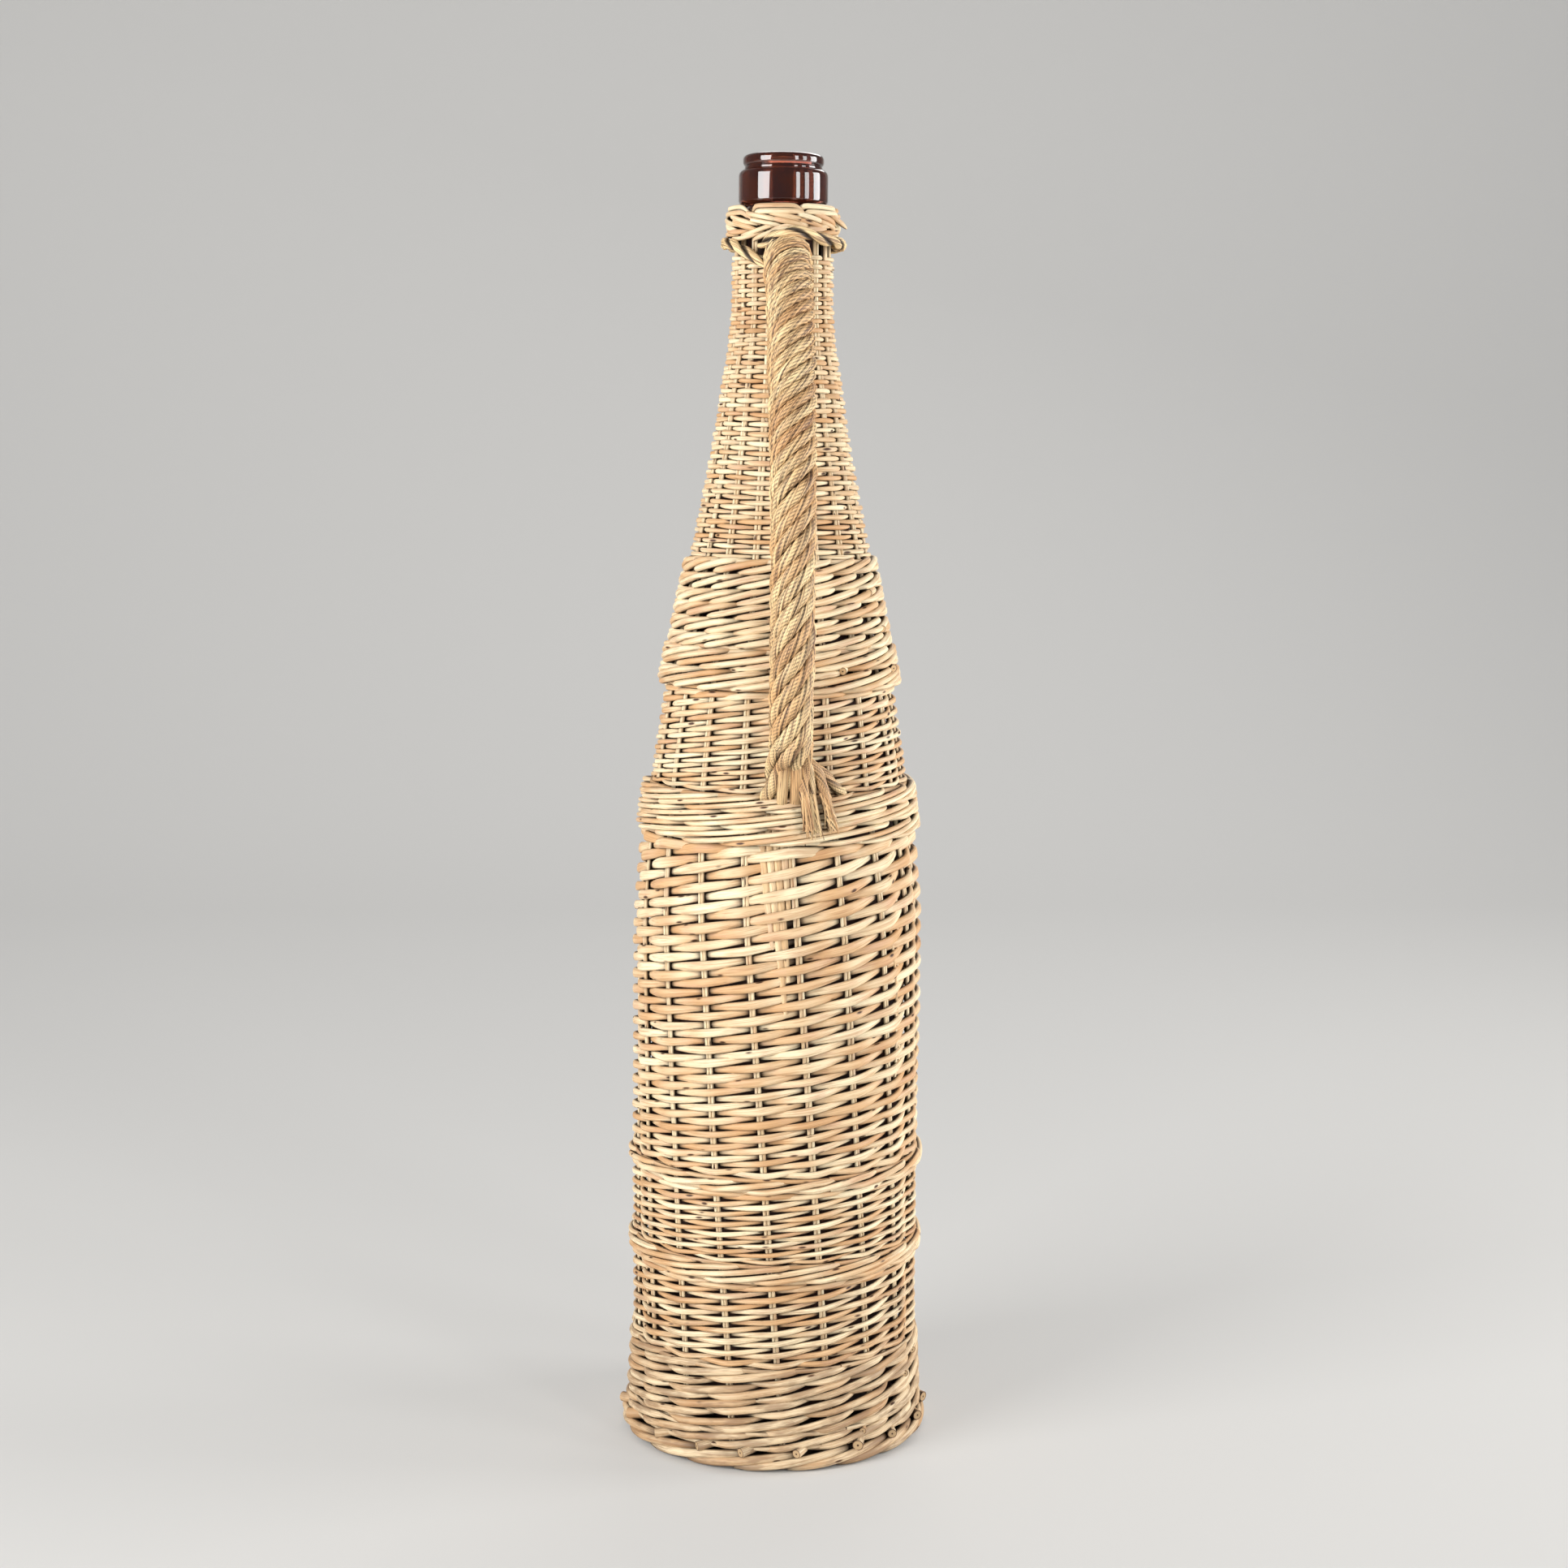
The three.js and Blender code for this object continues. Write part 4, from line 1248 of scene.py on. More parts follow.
@dataclass
class Handle:
    """The handle: a bow with seven strands roped round it, its tails, and the loop round the neck."""

    bow_half: float = 7.8 * MM  # half the bow's thickness
    leave: float = math.radians(59)  # how steeply the bow leaves the neck, from straight down
    land: float = math.radians(24)  # how steeply it lands
    top_pull: float = 102 * MM  # how far it holds these directions
    foot_pull: float = 96 * MM
    clearance: float = 0.3 * MM
    strands: int = 7
    strand_half: float = 3.5 * MM
    loose: tuple[int, ...] = (0, 1, 6)  # the strands whose ends have split
    # Share of the bow's length, and there the strands' slant in degrees and thickness for 1 as usual
    slants: tuple[tuple[float, float, float], ...] = (
        (0.0, 74, 1.08),
        (0.05, 62, 1.08),
        (0.12, 52, 1.06),
        (0.36, 50, 1.03),
        (0.5, 42, 1.0),
        (0.8, 37, 0.98),
        (1.0, 33, 0.96),
    )
    dome: float = 2.8 * MM  # how far the roping is lifted at the handle's top
    dome_length: float = 36 * MM
    top_gap: float = 1 * MM  # the bow's length that is bare of roping at its top
    foot_gap: float = 27 * MM  # and at its foot
    foot_turn: float = math.radians(50)  # where the first strand leaves the bow at its foot
    squareness: float = 1.9  # how full a strand's section is
    ridges: int = 9
    ridge_depth: float = 0.19
    # how much painted shade lies in the furrows between a strand's ridges
    furrow_shade: float = 0.75
    ridge_slant: float = math.radians(24)
    sides: int = 54
    step: float = 2.0 * MM  # from one of a strand's points to the next
    seed: int = 80

    ASIDE = np.array([1.0, 0.0, 0.0])
    BOW_POINTS = 600
    CORE_END = (0, 4.5, -6.5)  # how far the core runs on below the bow, in millimetres
    CORE_RODS = ((-1, -1.0, 0.0), (1, 2.4, 1.2))  # side, and shift and extra half width at the foot
    CORE_APART, CORE_HALF, CORE_TONE = 3.3, 3.9, 0.8  # the lengths in millimetres
    CORE_DEPTH, CORE_THINNING = 0.86, 0.3  # half depth, and what it loses at the foot, for 1 as the bow's
    FOOT_START, FOOT_LENGTH = 26, 20  # where the core's foot begins and how softly, in points from its end
    LIFT = (0.0, -0.25, 1.0)  # which way the dome lifts a strand
    SWAY, STRAY = 0.05, 0.4 * MM  # how far a strand strays round the bow, and off it
    LUMP, LUMP_RATE = 0.07, 1.6  # how much its depth varies, and how quickly along it
    TOP_POINT, POINT_LENGTH = 0.7, 10 * MM  # how thin it starts, and over what length
    FULL_DEPTH, FULL_WIDTH = 1.06, 1.05  # so that strands press on each other
    BLEND = 5  # points over which a strand passes into its tail
    FACE_TURN, TAPER_RATE, END_DEPTH = 1.6, 1.5, 0.85  # how soon a tail turns and thins, and its depth
    TONES = (0.1, 0.95)
    BAND_CLEAR, TUCK_CLEAR = 3.0 * MM, 3 * MM  # height of the tails' middles over the band and the stakes
    SPLINTERS, SPLIT_POINTS = 7, 14  # fibres of a split end, and the tail's points that they run along
    SPLINTER_HALF = (0.5, 0.95)  # thinnest and thickest, in millimetres
    SPLINTER_DROP = (-1, 6)  # how far one hangs, in millimetres
    LOOP_POINTS, LOOP_ROUNDING = 280, 9
    PLY_SHARE, PLY_APART, PLY_HEIGHT, PLY_TONE = 0.62, 0.8, 1.15, 0.15
    PLY_TURN = 42 * MM  # length of loop in which its two rods turn once

    def build(self, form: BasketForm) -> list[Piece]:
        """Builds the handle.

        Args:
            form: where the basket's parts lie.

        Returns:
            The bow, its strands and the loop.
        """
        self._plan(form)
        ropes = [self._rope(form, strand) for strand in range(self.strands)]
        return [self._core(form), *ropes, self._loop(form)]

    def _plan(self, form: BasketForm) -> None:
        """Works out the bow's route from the frame.

        Args:
            form: where the basket's parts lie.
        """
        neck, waist = Node("neck_rand"), Node("waist_rand")
        top_r = form.outside(neck, neck.high) + self.clearance + self.bow_half * math.cos(self.leave)
        top_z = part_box("neck_loop")[0].z - self.clearance - self.bow_half * math.sin(self.leave)
        foot_z = waist.low + self.bow_half * math.sin(self.land)
        foot_r = form.outside(waist, foot_z) + self.clearance + self.bow_half * math.cos(self.land)
        top, foot = np.array([top_r, top_z]), np.array([foot_r, foot_z])
        leave = np.array([math.sin(self.leave), -math.cos(self.leave)])
        land = np.array([math.sin(self.land), math.cos(self.land)])
        corners = [top, top + self.top_pull * leave, foot + self.foot_pull * land, foot]
        share = np.linspace(0, 1, self.BOW_POINTS)[:, None]
        weights = [(1 - share) ** 3, 3 * share * (1 - share) ** 2, 3 * share**2 * (1 - share), share**3]
        flat = sum(weight * corner for weight, corner in zip(weights, corners))
        lengths = run_lengths(flat)
        self.length = float(lengths[-1])
        self.places = np.linspace(0, self.length, int(self.length / self.step))
        radius = np.interp(self.places, lengths, flat[:, 0])
        self.middle = form.points(radius, 0.0, np.interp(self.places, lengths, flat[:, 1]))
        self.towards = unit(np.cross(self.ASIDE, np.gradient(self.middle, axis=0)))

    def _core(self, form: BasketForm) -> Piece:
        """Lays the flat rods under the roping, one of which shows at the foot.

        Args:
            form: where the basket's parts lie.

        Returns:
            The bow.
        """
        bundle = RodBundle("handle_core", form, self.seed)
        below = np.linspace(0, 1, 6)[1:, None] * np.array(self.CORE_END) * MM
        path = np.vstack([self.middle, self.middle[-1] + below])
        facing = -np.vstack([self.towards, np.tile(self.towards[-1], (len(below), 1))])
        near_foot = eased((np.arange(len(path)) - len(path) + self.FOOT_START) / self.FOOT_LENGTH)
        # The core gets some painted shade
        shape = {"tone": self.CORE_TONE, "inner": 0.3, "squareness": 2.8, "sides": 14}
        for side, foot_shift, foot_width in self.CORE_RODS:
            rod_path = path + np.outer(side * self.CORE_APART + near_foot * foot_shift, self.ASIDE * MM)
            half_depth = self.bow_half * (self.CORE_DEPTH - self.CORE_THINNING * near_foot)
            half_height = (self.CORE_HALF + foot_width * near_foot) * MM
            bundle.add(Rod(rod_path, facing, half_depth, half_height, **shape))
        return bundle.piece(Slot.HANDLE, "handle_bow")

    def _along(self, places: Array, rows: Array) -> Array:
        """Returns rows that follow the bow, as they are at distances along it."""
        return np.stack([np.interp(places, self.places, rows[:, axis]) for axis in range(3)], axis=-1)

    def _rope(self, form: BasketForm, strand: int) -> Piece:
        """Ropes one strand round the bow and leads its tail away.

        Args:
            form: where the basket's parts lie.
            strand: which strand.

        Returns:
            The strand.
        """
        bundle = RodBundle(f"rope_strand_{strand + 1}", form, self.seed + 1 + strand)
        rng = bundle.rng
        places = np.arange(self.top_gap, self.length - self.foot_gap, self.step)
        shares, slants, thicknesses = zip(*self.slants)
        slant = np.radians(np.interp(places / self.length, shares, slants))
        thick = np.interp(places / self.length, shares, thicknesses)
        own = Wobble(rng, 60 * MM)
        reach = (self.bow_half + self.clearance + self.strand_half) * thick
        turns = np.tan((slant[1:] + slant[:-1]) / 2) / reach[1:] * self.step
        turn = np.concatenate([[0], np.cumsum(turns)])
        angle = self.foot_turn + TURN * strand / self.strands + turn - turn[-1] + self.SWAY * own.at(places)
        out = self._along(places, self.towards) * np.cos(angle)[:, None]
        out = out + np.outer(np.sin(angle), self.ASIDE)
        lift = self.dome * (1 - eased(places / self.dome_length))
        middle = self._along(places, self.middle) + np.outer(lift, self.LIFT)
        path = middle + out * (reach + self.STRAY * own.at(places + 2))[:, None]
        fade = np.interp(places, [self.top_gap, self.top_gap + self.POINT_LENGTH], [self.TOP_POINT, 1])
        half_depth = self.FULL_DEPTH * self.strand_half * thick * fade
        half_depth = half_depth * (1 + self.LUMP * own.at(places * self.LUMP_RATE))
        half_height = TURN * reach * np.cos(slant) / self.strands / 2 * self.FULL_WIDTH * fade
        self._strand(bundle, strand, path, out, half_depth, half_height)
        return bundle.piece(Slot.HANDLE, f"handle_strand_{strand + 1}")

    def _strand(
        self, bundle: RodBundle, strand: int, path: Array, out: Array, half_depth: Array, half_height: Array
    ) -> None:
        """Lays one strand with its tail, which is frayed where it lies loose.

        Args:
            bundle: the strand's rods.
            strand: which strand.
            path: its route along the bow.
            out: the directions out from the bow.
            half_depth: half its depth along the bow.
            half_height: half its width along the bow.
        """
        form = bundle.form
        keep = len(path) - self.BLEND
        corners, end_half = self._tail(form, strand)
        tail = route(np.vstack([path[keep:], corners]), self.step, self.BLEND)
        angle = np.arctan2(tail[:, 0], form.centre_y - tail[:, 1])
        share = np.linspace(0, 1, len(tail))[:, None]
        turned = eased(share * self.FACE_TURN)
        facing = out[-1] * (1 - turned) + form.outward(angle, tail[:, 2]) * turned
        share = eased(share[:, 0] * self.TAPER_RATE)
        end_depth = self.END_DEPTH * end_half
        depth = np.concatenate([half_depth[:keep], half_depth[-1] * (1 - share) + end_depth * share])
        height = np.concatenate([half_height[:keep], half_height[-1] * (1 - share) + end_half * share])
        shape = {"squareness": self.squareness, "sides": self.sides, "furrow_shade": self.furrow_shade}
        shape |= {"ridges": self.ridges, "ridge_depth": self.ridge_depth}
        twist = math.tan(self.ridge_slant) / self.strand_half
        whole, outward = np.vstack([path[:keep], tail]), unit(np.vstack([out[:keep], facing]))
        tone = bundle.rng.uniform(*self.TONES)
        phase = bundle.rng.uniform(0, TURN)
        bundle.add(Rod(whole, outward, depth, height, tone, twist=twist, phase=phase, **shape))
        if strand in self.loose:
            self._splinters(bundle, tail[-self.SPLIT_POINTS :], end_half, tone)

    def _tail(self, form: BasketForm, strand: int) -> tuple[Array, float]:
        """Finds where a strand's tail goes.

        Args:
            form: where the basket's parts lie.
            strand: which strand.

        Returns:
            The points that a strand is led by after the roping, and half the width of its end.
        """
        band = Node("shoulder_band")
        over = form.outside(band, (band.low + band.high) / 2) + self.BAND_CLEAR
        tuck = float(form.stake(band.high)) + self.TUCK_CLEAR
        # Sideways, height, distance from the axis, for each point, and half the width of the end
        ends = {
            0: ((14.5, 492, over - 2 * MM), (15, 480, over - 0.5 * MM), (20, 450, over), 2.7),
            1: ((9.6, 493, over + 2 * MM), (9.6, 481, over + 1.6 * MM), (13.6, 451, over + 1 * MM), 3.1),
            2: ((3.5, 494, over + 1.5 * MM), (-2.5, 482, over - 2.5 * MM), (-6.3, 470.5, tuck), 4.2),
            3: ((-5.5, 494, over + 1 * MM), (-11, 482, over - 3 * MM), (-15, 470.5, tuck), 4.5),
            4: ((-13, 492, tuck + 5 * MM), (-11, 482, tuck + 1 * MM), (-9, 472, tuck - 1 * MM), 3.2),
            5: ((22, 492, tuck + 5 * MM), (31, 482, tuck + 5 * MM), (40, 473, tuck + 1 * MM), 3.2),
            6: ((20, 492, over - 4 * MM), (24.5, 476, over - 0.5 * MM), (31.5, 451, over), 3.6),
        }
        *points, half = ends[strand]
        rows = [form.points(radius, side * MM / radius, z * MM) for side, z, radius in points]
        return np.array(rows), half * MM

    def _splinters(self, bundle: RodBundle, tail: Array, half: float, tone: float) -> None:
        """Lays the fibres that a strand's loose end has split into.

        Args:
            bundle: the strand's rods.
            tail: the end of the strand's path.
            half: half the strand's width.
            tone: the strand's tone.
        """
        share = np.linspace(0, 1, len(tail))
        for _ in range(self.SPLINTERS):
            swing = bundle.rng.uniform(-1, 1)
            aside = np.outer(half * swing * (0.8 + 1.1 * share**2), self.ASIDE)
            drop = np.outer(share * bundle.rng.uniform(*self.SPLINTER_DROP) * MM, [0.0, 0.0, -1.0])
            path = tail + aside + drop
            angle = np.arctan2(path[:, 0], bundle.form.centre_y - path[:, 1])
            outward = bundle.form.outward(angle, path[:, 2])
            thin = bundle.rng.uniform(*self.SPLINTER_HALF) * MM * (1 - 0.5 * share)
            lift = half * (0.55 + 0.3 * np.sin(math.pi * share))[:, None]
            # Painted shade grows towards a fibre's end
            bundle.add(Rod(path + outward * lift, outward, thin, thin, tone, inner=0.25 * share, sides=6))

    def _loop(self, form: BasketForm) -> Piece:
        """Twists the loop that starts over the handle's top and runs round the neck and back.

        Args:
            form: where the basket's parts lie.

        Returns:
            The loop.
        """
        low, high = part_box("neck_loop")
        half = (high.z - low.z) / 2
        outer = (high.x - low.x) / 2 - half
        # Angles round the neck, and how far up and out the loop is shifted there, in millimetres
        stations = np.radians([-24, -10, 5, 20, 32, 48, 76, 120, 240, 276, 300, 318, 336, 346])
        rises = np.array([-5, 1.5, 5.5, 2.6, 0.8, 0.2, -0.4, 0, 0, 0.6, -2, -7, -14.5, -18])
        heights = (low.z + high.z) / 2 + MM * rises
        reaches = outer + MM * np.array([5, 11.5, 14, 10.5, 7.5, 5, 0.8, 0, 0, 0, 0.8, 2.5, 6, 7.5])
        angle = np.linspace(stations[0], stations[-1], self.LOOP_POINTS)
        z = smoothed(np.interp(angle, stations, heights), self.LOOP_ROUNDING)
        radius = smoothed(np.interp(angle, stations, reaches), self.LOOP_ROUNDING)
        path = form.points(radius, angle, z)
        outward = form.points(1.0, angle, 0.0) - form.points(0.0, angle, 0.0)
        up = unit(np.cross(np.gradient(path, axis=0), outward))
        out = np.cross(up, unit(np.gradient(path, axis=0)))
        bundle = RodBundle("neck_loop_rods", form, self.seed + 20)
        ply_half = half * self.PLY_SHARE
        taper = np.interp(np.linspace(0, 1, len(path)), [0, 0.03, 0.97, 1], [0.6, 1, 1, 0.6])
        # The loop's furrows get a little painted shade
        shape = {"sides": 36, "ridges": 8, "ridge_depth": 0.12, "furrow_shade": 0.2}
        shape["twist"] = math.tan(self.ridge_slant) / ply_half
        for ply in range(2):
            turned = math.pi * ply + run_lengths(path) / self.PLY_TURN * TURN
            shift = out * np.cos(turned)[:, None] + up * np.sin(turned)[:, None]
            shift = shift * ply_half * self.PLY_APART
            half, tone = ply_half * taper, self.PLY_TONE * ply
            bundle.add(Rod(path + shift, unit(shift), half, self.PLY_HEIGHT * half, tone, **shape))
        return bundle.piece(Slot.HANDLE, "neck_loop")


# Glass


@dataclass
class GlassBottle:
    """The bottle: one outline from the punt over the lip to the inside, spun round the axis."""

    wall: float = 3.5 * MM
    floor: float = 7 * MM
    heel: float = 14 * MM
    punt: float = 5 * MM  # how far the bottom is pushed up
    body_top: float = 360 * MM  # height that the shoulder begins above
    collar_height: float = 25 * MM
    lip_height: float = 10 * MM
    collar_round: float = 4.5 * MM
    lip_round: float = 3.2 * MM
    groove: float = 1.1 * MM  # between the collar and the lip
    steps: int = 96

    def build(self, form: BasketForm) -> Piece:
        """Spins the bottle's outline round the axis.

        Args:
            form: where the basket's parts lie.

        Returns:
            The bottle.
        """
        select_nothing()
        mesh = bpy.data.meshes.new("bottle_glass")
        points = [(r, form.centre_y, z) for r, z in self._outline(form)]
        mesh.from_pydata(points, [(k, k + 1) for k in range(len(points) - 1)], [])
        bottle = linked("bottle_glass", mesh)
        bpy.context.view_layer.objects.active = bottle
        bottle.select_set(True)
        bpy.ops.object.mode_set(mode="EDIT")
        bpy.ops.mesh.select_all(action="SELECT")
        bpy.ops.mesh.spin(steps=self.steps, angle=TURN, center=(0, form.centre_y, 0), axis=(0, 0, 1))
        bpy.ops.mesh.select_all(action="SELECT")
        bpy.ops.mesh.remove_doubles(threshold=0.01 * MM)
        bpy.ops.mesh.normals_make_consistent(inside=False)
        bpy.ops.object.mode_set(mode="OBJECT")
        bpy.ops.object.shade_smooth_by_angle(angle=math.radians(50))
        return settle(bottle, Slot.GLASS, "glass_bottle")

    @staticmethod
    def _arc(r: float, z: float, radius: float, start: float, end: float) -> list[Pair]:
        """Returns a rounded edge round (r, z), from an angle to another in degrees; 0 is outwards."""
        angles = np.radians(np.linspace(start, end, 8))
        return [(r + radius * math.cos(a), z + radius * math.sin(a)) for a in angles]

    def _outline(self, form: BasketForm) -> list[Pair]:
        """Draws the outline from the punt's middle over the lip to the inside's middle.

        Args:
            form: where the basket's parts lie.

        Returns:
            Its points as (distance, height).
        """
        glass = Node("glass_bottle")
        bottom, top = glass.low, glass.high
        lip_bottom = top - self.lip_height
        collar_bottom = lip_bottom - self.collar_height
        collar = glass.outside((lip_bottom + collar_bottom) / 2)
        lip = glass.outside(top - self.lip_height / 2)
        body, neck = float(form.glass(bottom + 60 * MM)), float(form.glass(collar_bottom - 2 * MM))
        straight = np.arange(bottom + self.heel, self.body_top, 60 * MM)
        curved = np.arange(self.body_top + 10 * MM, collar_bottom, 10 * MM)
        outside = [(float(form.glass(z)), float(z)) for z in np.concatenate([straight, curved])]
        floor = bottom + self.punt + self.floor
        inner_heel = self.heel - self.wall
        inside = [(r - self.wall, z) for r, z in outside if z > floor + self.heel]
        round_c, round_l = self.collar_round, self.lip_round
        return [
            (0.0, bottom + self.punt),
            (body * 0.3, bottom + self.punt * 0.95),
            (body - 2 * self.heel, bottom + self.punt * 0.55),
            *self._arc(body - self.heel, bottom + self.heel, self.heel, -100, 0),
            *outside,
            (neck, collar_bottom),
            *self._arc(collar - round_c, collar_bottom + round_c, round_c, -90, 0),
            *self._arc(collar - round_c, lip_bottom - round_c, round_c, 0, 90),
            (lip - self.groove, lip_bottom + 0.2 * MM),
            (lip - self.groove, lip_bottom + 1.3 * MM),
            *self._arc(lip - round_l, lip_bottom + 2 * MM + round_l, round_l, -60, 0),
            *self._arc(lip - round_l, top - round_l, round_l, 0, 90),
            *self._arc(neck - self.wall + 2 * MM, top - 2 * MM, 2 * MM, 90, 180),
            *reversed(inside),
            *self._arc(body - self.wall - inner_heel, floor + inner_heel, inner_heel, 0, -90),
            (0.0, floor),
        ]


# Finishes


class Graph:
    """Adds nodes to a tree by plain calls."""

    def __init__(self, tree: bpy.types.NodeTree) -> None:
        """Keeps the tree that the nodes go into."""
        self.tree = tree

    def add(self, kind: str, inputs: Inputs | None = None, **settings: object) -> bpy.types.Node:
        """Adds a node.

        Args:
            kind: the node's type.
            inputs: values or sockets for its inputs.
            settings: the node's own settings.

        Returns:
            The node.
        """
        node = self.tree.nodes.new(kind)
        for name, value in settings.items():
            setattr(node, name, value)
        self.feed(node, inputs or {})
        return node

    def feed(self, node: bpy.types.Node, inputs: Inputs) -> None:
        """Gives a node its inputs.

        Args:
            node: the node.
            inputs: values or sockets for its inputs.
        """
        for name, value in inputs.items():
            if isinstance(value, Socket):
                self.tree.links.new(value, node.inputs[name])
            else:
                node.inputs[name].default_value = value

    def math(self, operation: str, first: Value, second: Value = 0.0, third: Value = 0.0) -> Socket:
        """Returns the result of a sum on up to three values."""
        return self.add("ShaderNodeMath", {0: first, 1: second, 2: third}, operation=operation).outputs[0]

    def ramp(self, value: Value, low: float, high: float) -> Socket:
        """Returns a value eased from 0, where it is low, to 1, where it is high."""
        inputs = {"Value": value, "From Min": low, "From Max": high}
        return self.add("ShaderNodeMapRange", inputs, interpolation_type="SMOOTHSTEP").outputs["Result"]

    def mix(self, share: Value, first: object, second: object) -> Socket:
        """Returns the first colour with a share of the second."""
        inputs = {0: share, 6: first, 7: second}
        return self.add("ShaderNodeMix", inputs, data_type="RGBA").outputs[2]

    def noise(self, vector: Value, stretch: tuple[float, float, float], detail: float = 2.0) -> Socket:
        """Returns noise of about 0 to 1 at a place, with its scale along each axis."""
        inputs = {"Vector": self.stretch(vector, stretch), "Scale": 1.0, "Detail": detail, "Roughness": 0.6}
        return self.add("ShaderNodeTexNoise", inputs).outputs["Fac"]

    def stretch(self, vector: Value, scale: tuple[float, float, float]) -> Socket:
        """Returns a vector with each axis multiplied by its scale."""
        return self.add("ShaderNodeVectorMath", {0: vector, 1: scale}, operation="MULTIPLY").outputs[0]


def new_material(name: str) -> tuple[bpy.types.Material, Graph, bpy.types.Node]:
    """Starts a material.

    Args:
        name: its name.

    Returns:
        The material, its graph and its shader.
    """
    made = bpy.data.materials.new(name)
    made.use_nodes = True
    return made, Graph(made.node_tree), made.node_tree.nodes["Principled BSDF"]


def srgb(red: int, green: int, blue: int) -> tuple[float, float, float, float]:
    """Turns a colour as it is seen into a shader's.

    Args:
        red: red, 0 to 255.
        green: green.
        blue: blue.

    Returns:
        The colour as a shader takes it.
    """
    shares = [value / 255 for value in (red, green, blue)]
    linear = [share / 12.92 if share <= 0.04045 else ((share + 0.055) / 1.055) ** 2.4 for share in shares]
    return (*linear, 1.0)


class WillowGroup:
    """The node group of every willow finish: streaky grain, tone of each rod, knots, cut ends, dirt and painted
    shade.
    """

    NAME = "peeled_willow"
    # Inner is how much painted shade a point gets, and Shade is its colour
    NUMBERS = ("Tone", "Inner", "Cut", "Grain", "Knots", "Weathering")
    COLOURS = ("Pale", "Warm", "Blush", "Streak", "Knot", "Dirt", "Shade", "Pith")
    # Round a rod and along it, for each metre: fine streaks, broad ones, mottling, slow changes and knots
    FINE, BROAD, MOTTLE, DRIFT, SPOTS = (2600, 60, 1), (700, 22, 1), (130, 34, 1), (20, 26, 1), (170, 52, 1)
    ROD_SHIFT = 31.0  # how far apart two rods' patterns lie, from tone 0 to tone 1
    PLAIN_SPOTS = 0.42  # share of the spots that have no knot
    RINGS = 19000.0  # of a cut end, as radians for each metre
    # Distances from a cut end's middle that its pith ends between and its edge begins between
    PITH_EDGE, BARK_EDGE = (0.00026, 0.00014), (0.00074, 0.00096)

    @classmethod
    def make(cls) -> bpy.types.NodeTree:
        """Builds the group once.

        Returns:
            The group.
        """
        if cls.NAME in bpy.data.node_groups:
            return bpy.data.node_groups[cls.NAME]
        tree = bpy.data.node_groups.new(cls.NAME, "ShaderNodeTree")
        face = tree.interface
        face.new_socket("Along", in_out="INPUT", socket_type="NodeSocketVector")
        for name in cls.NUMBERS:
            face.new_socket(name, in_out="INPUT", socket_type="NodeSocketFloat")
        for name in cls.COLOURS:
            face.new_socket(name, in_out="INPUT", socket_type="NodeSocketColor")
        face.new_socket("Colour", in_out="OUTPUT", socket_type="NodeSocketColor")
        face.new_socket("Roughness", in_out="OUTPUT", socket_type="NodeSocketFloat")
        face.new_socket("Height", in_out="OUTPUT", socket_type="NodeSocketFloat")
        cls._fill(Graph(tree))
        return tree

    @classmethod
    def _fill(cls, graph: Graph) -> None:
        """Adds the group's nodes.

        Args:
            graph: the group's graph.
        """
        given = graph.add("NodeGroupInput").outputs
        shift = graph.math("MULTIPLY", given["Tone"], cls.ROD_SHIFT)
        both = {0: given["Along"], 1: graph.add("ShaderNodeCombineXYZ", {2: shift}).outputs[0]}
        place = graph.add("ShaderNodeVectorMath", both, operation="ADD").outputs[0]
        fine = graph.noise(place, cls.FINE, 3.0)
        broad = graph.noise(place, cls.BROAD)
        mottle = graph.noise(place, cls.MOTTLE, 3.0)
        drift = graph.noise(place, cls.DRIFT, 1.0)
        tone = graph.math("MULTIPLY_ADD", given["Tone"], 0.6, graph.math("MULTIPLY", drift, 1.3))
        colour = graph.mix(graph.ramp(tone, 0.55, 1.35), given["Pale"], given["Warm"])
        flush = graph.math("MULTIPLY", graph.ramp(mottle, 0.5, 0.72), 0.5)
        colour = graph.mix(flush, colour, given["Blush"])
        streaks = graph.math("MULTIPLY", graph.ramp(fine, 0.48, 0.72), given["Grain"])
        bands = graph.math("MULTIPLY", graph.ramp(broad, 0.5, 0.66), given["Grain"])
        colour = graph.mix(streaks, colour, given["Streak"])
        colour = graph.mix(graph.math("MULTIPLY", bands, 0.75), colour, given["Streak"])
        knots = cls._knots(graph, place, given["Knots"])
        colour = graph.mix(knots, colour, given["Knot"])
        patches = graph.math("MULTIPLY_ADD", fine, 0.5, mottle)
        worn = graph.math("MULTIPLY", graph.ramp(patches, 0.66, 0.86), given["Weathering"])
        colour = graph.mix(worn, colour, given["Dirt"])
        # Painted shade: darkened towards the Shade colour in crevices, grooves and furrows and behind the
        # stakes
        painted_shade = graph.math("MULTIPLY", graph.ramp(given["Inner"], 0.08, 0.9), 0.96)
        colour = graph.mix(painted_shade, colour, given["Shade"])
        colour = graph.mix(given["Cut"], colour, cls._cut_end(graph, given))
        rough = graph.math("MULTIPLY_ADD", fine, 0.3, 0.42)
        height = graph.math("MULTIPLY_ADD", fine, given["Grain"], graph.math("MULTIPLY", knots, -0.8))
        height = graph.math("MULTIPLY_ADD", broad, 0.5, height)
        graph.add("NodeGroupOutput", {"Colour": colour, "Roughness": rough, "Height": height})

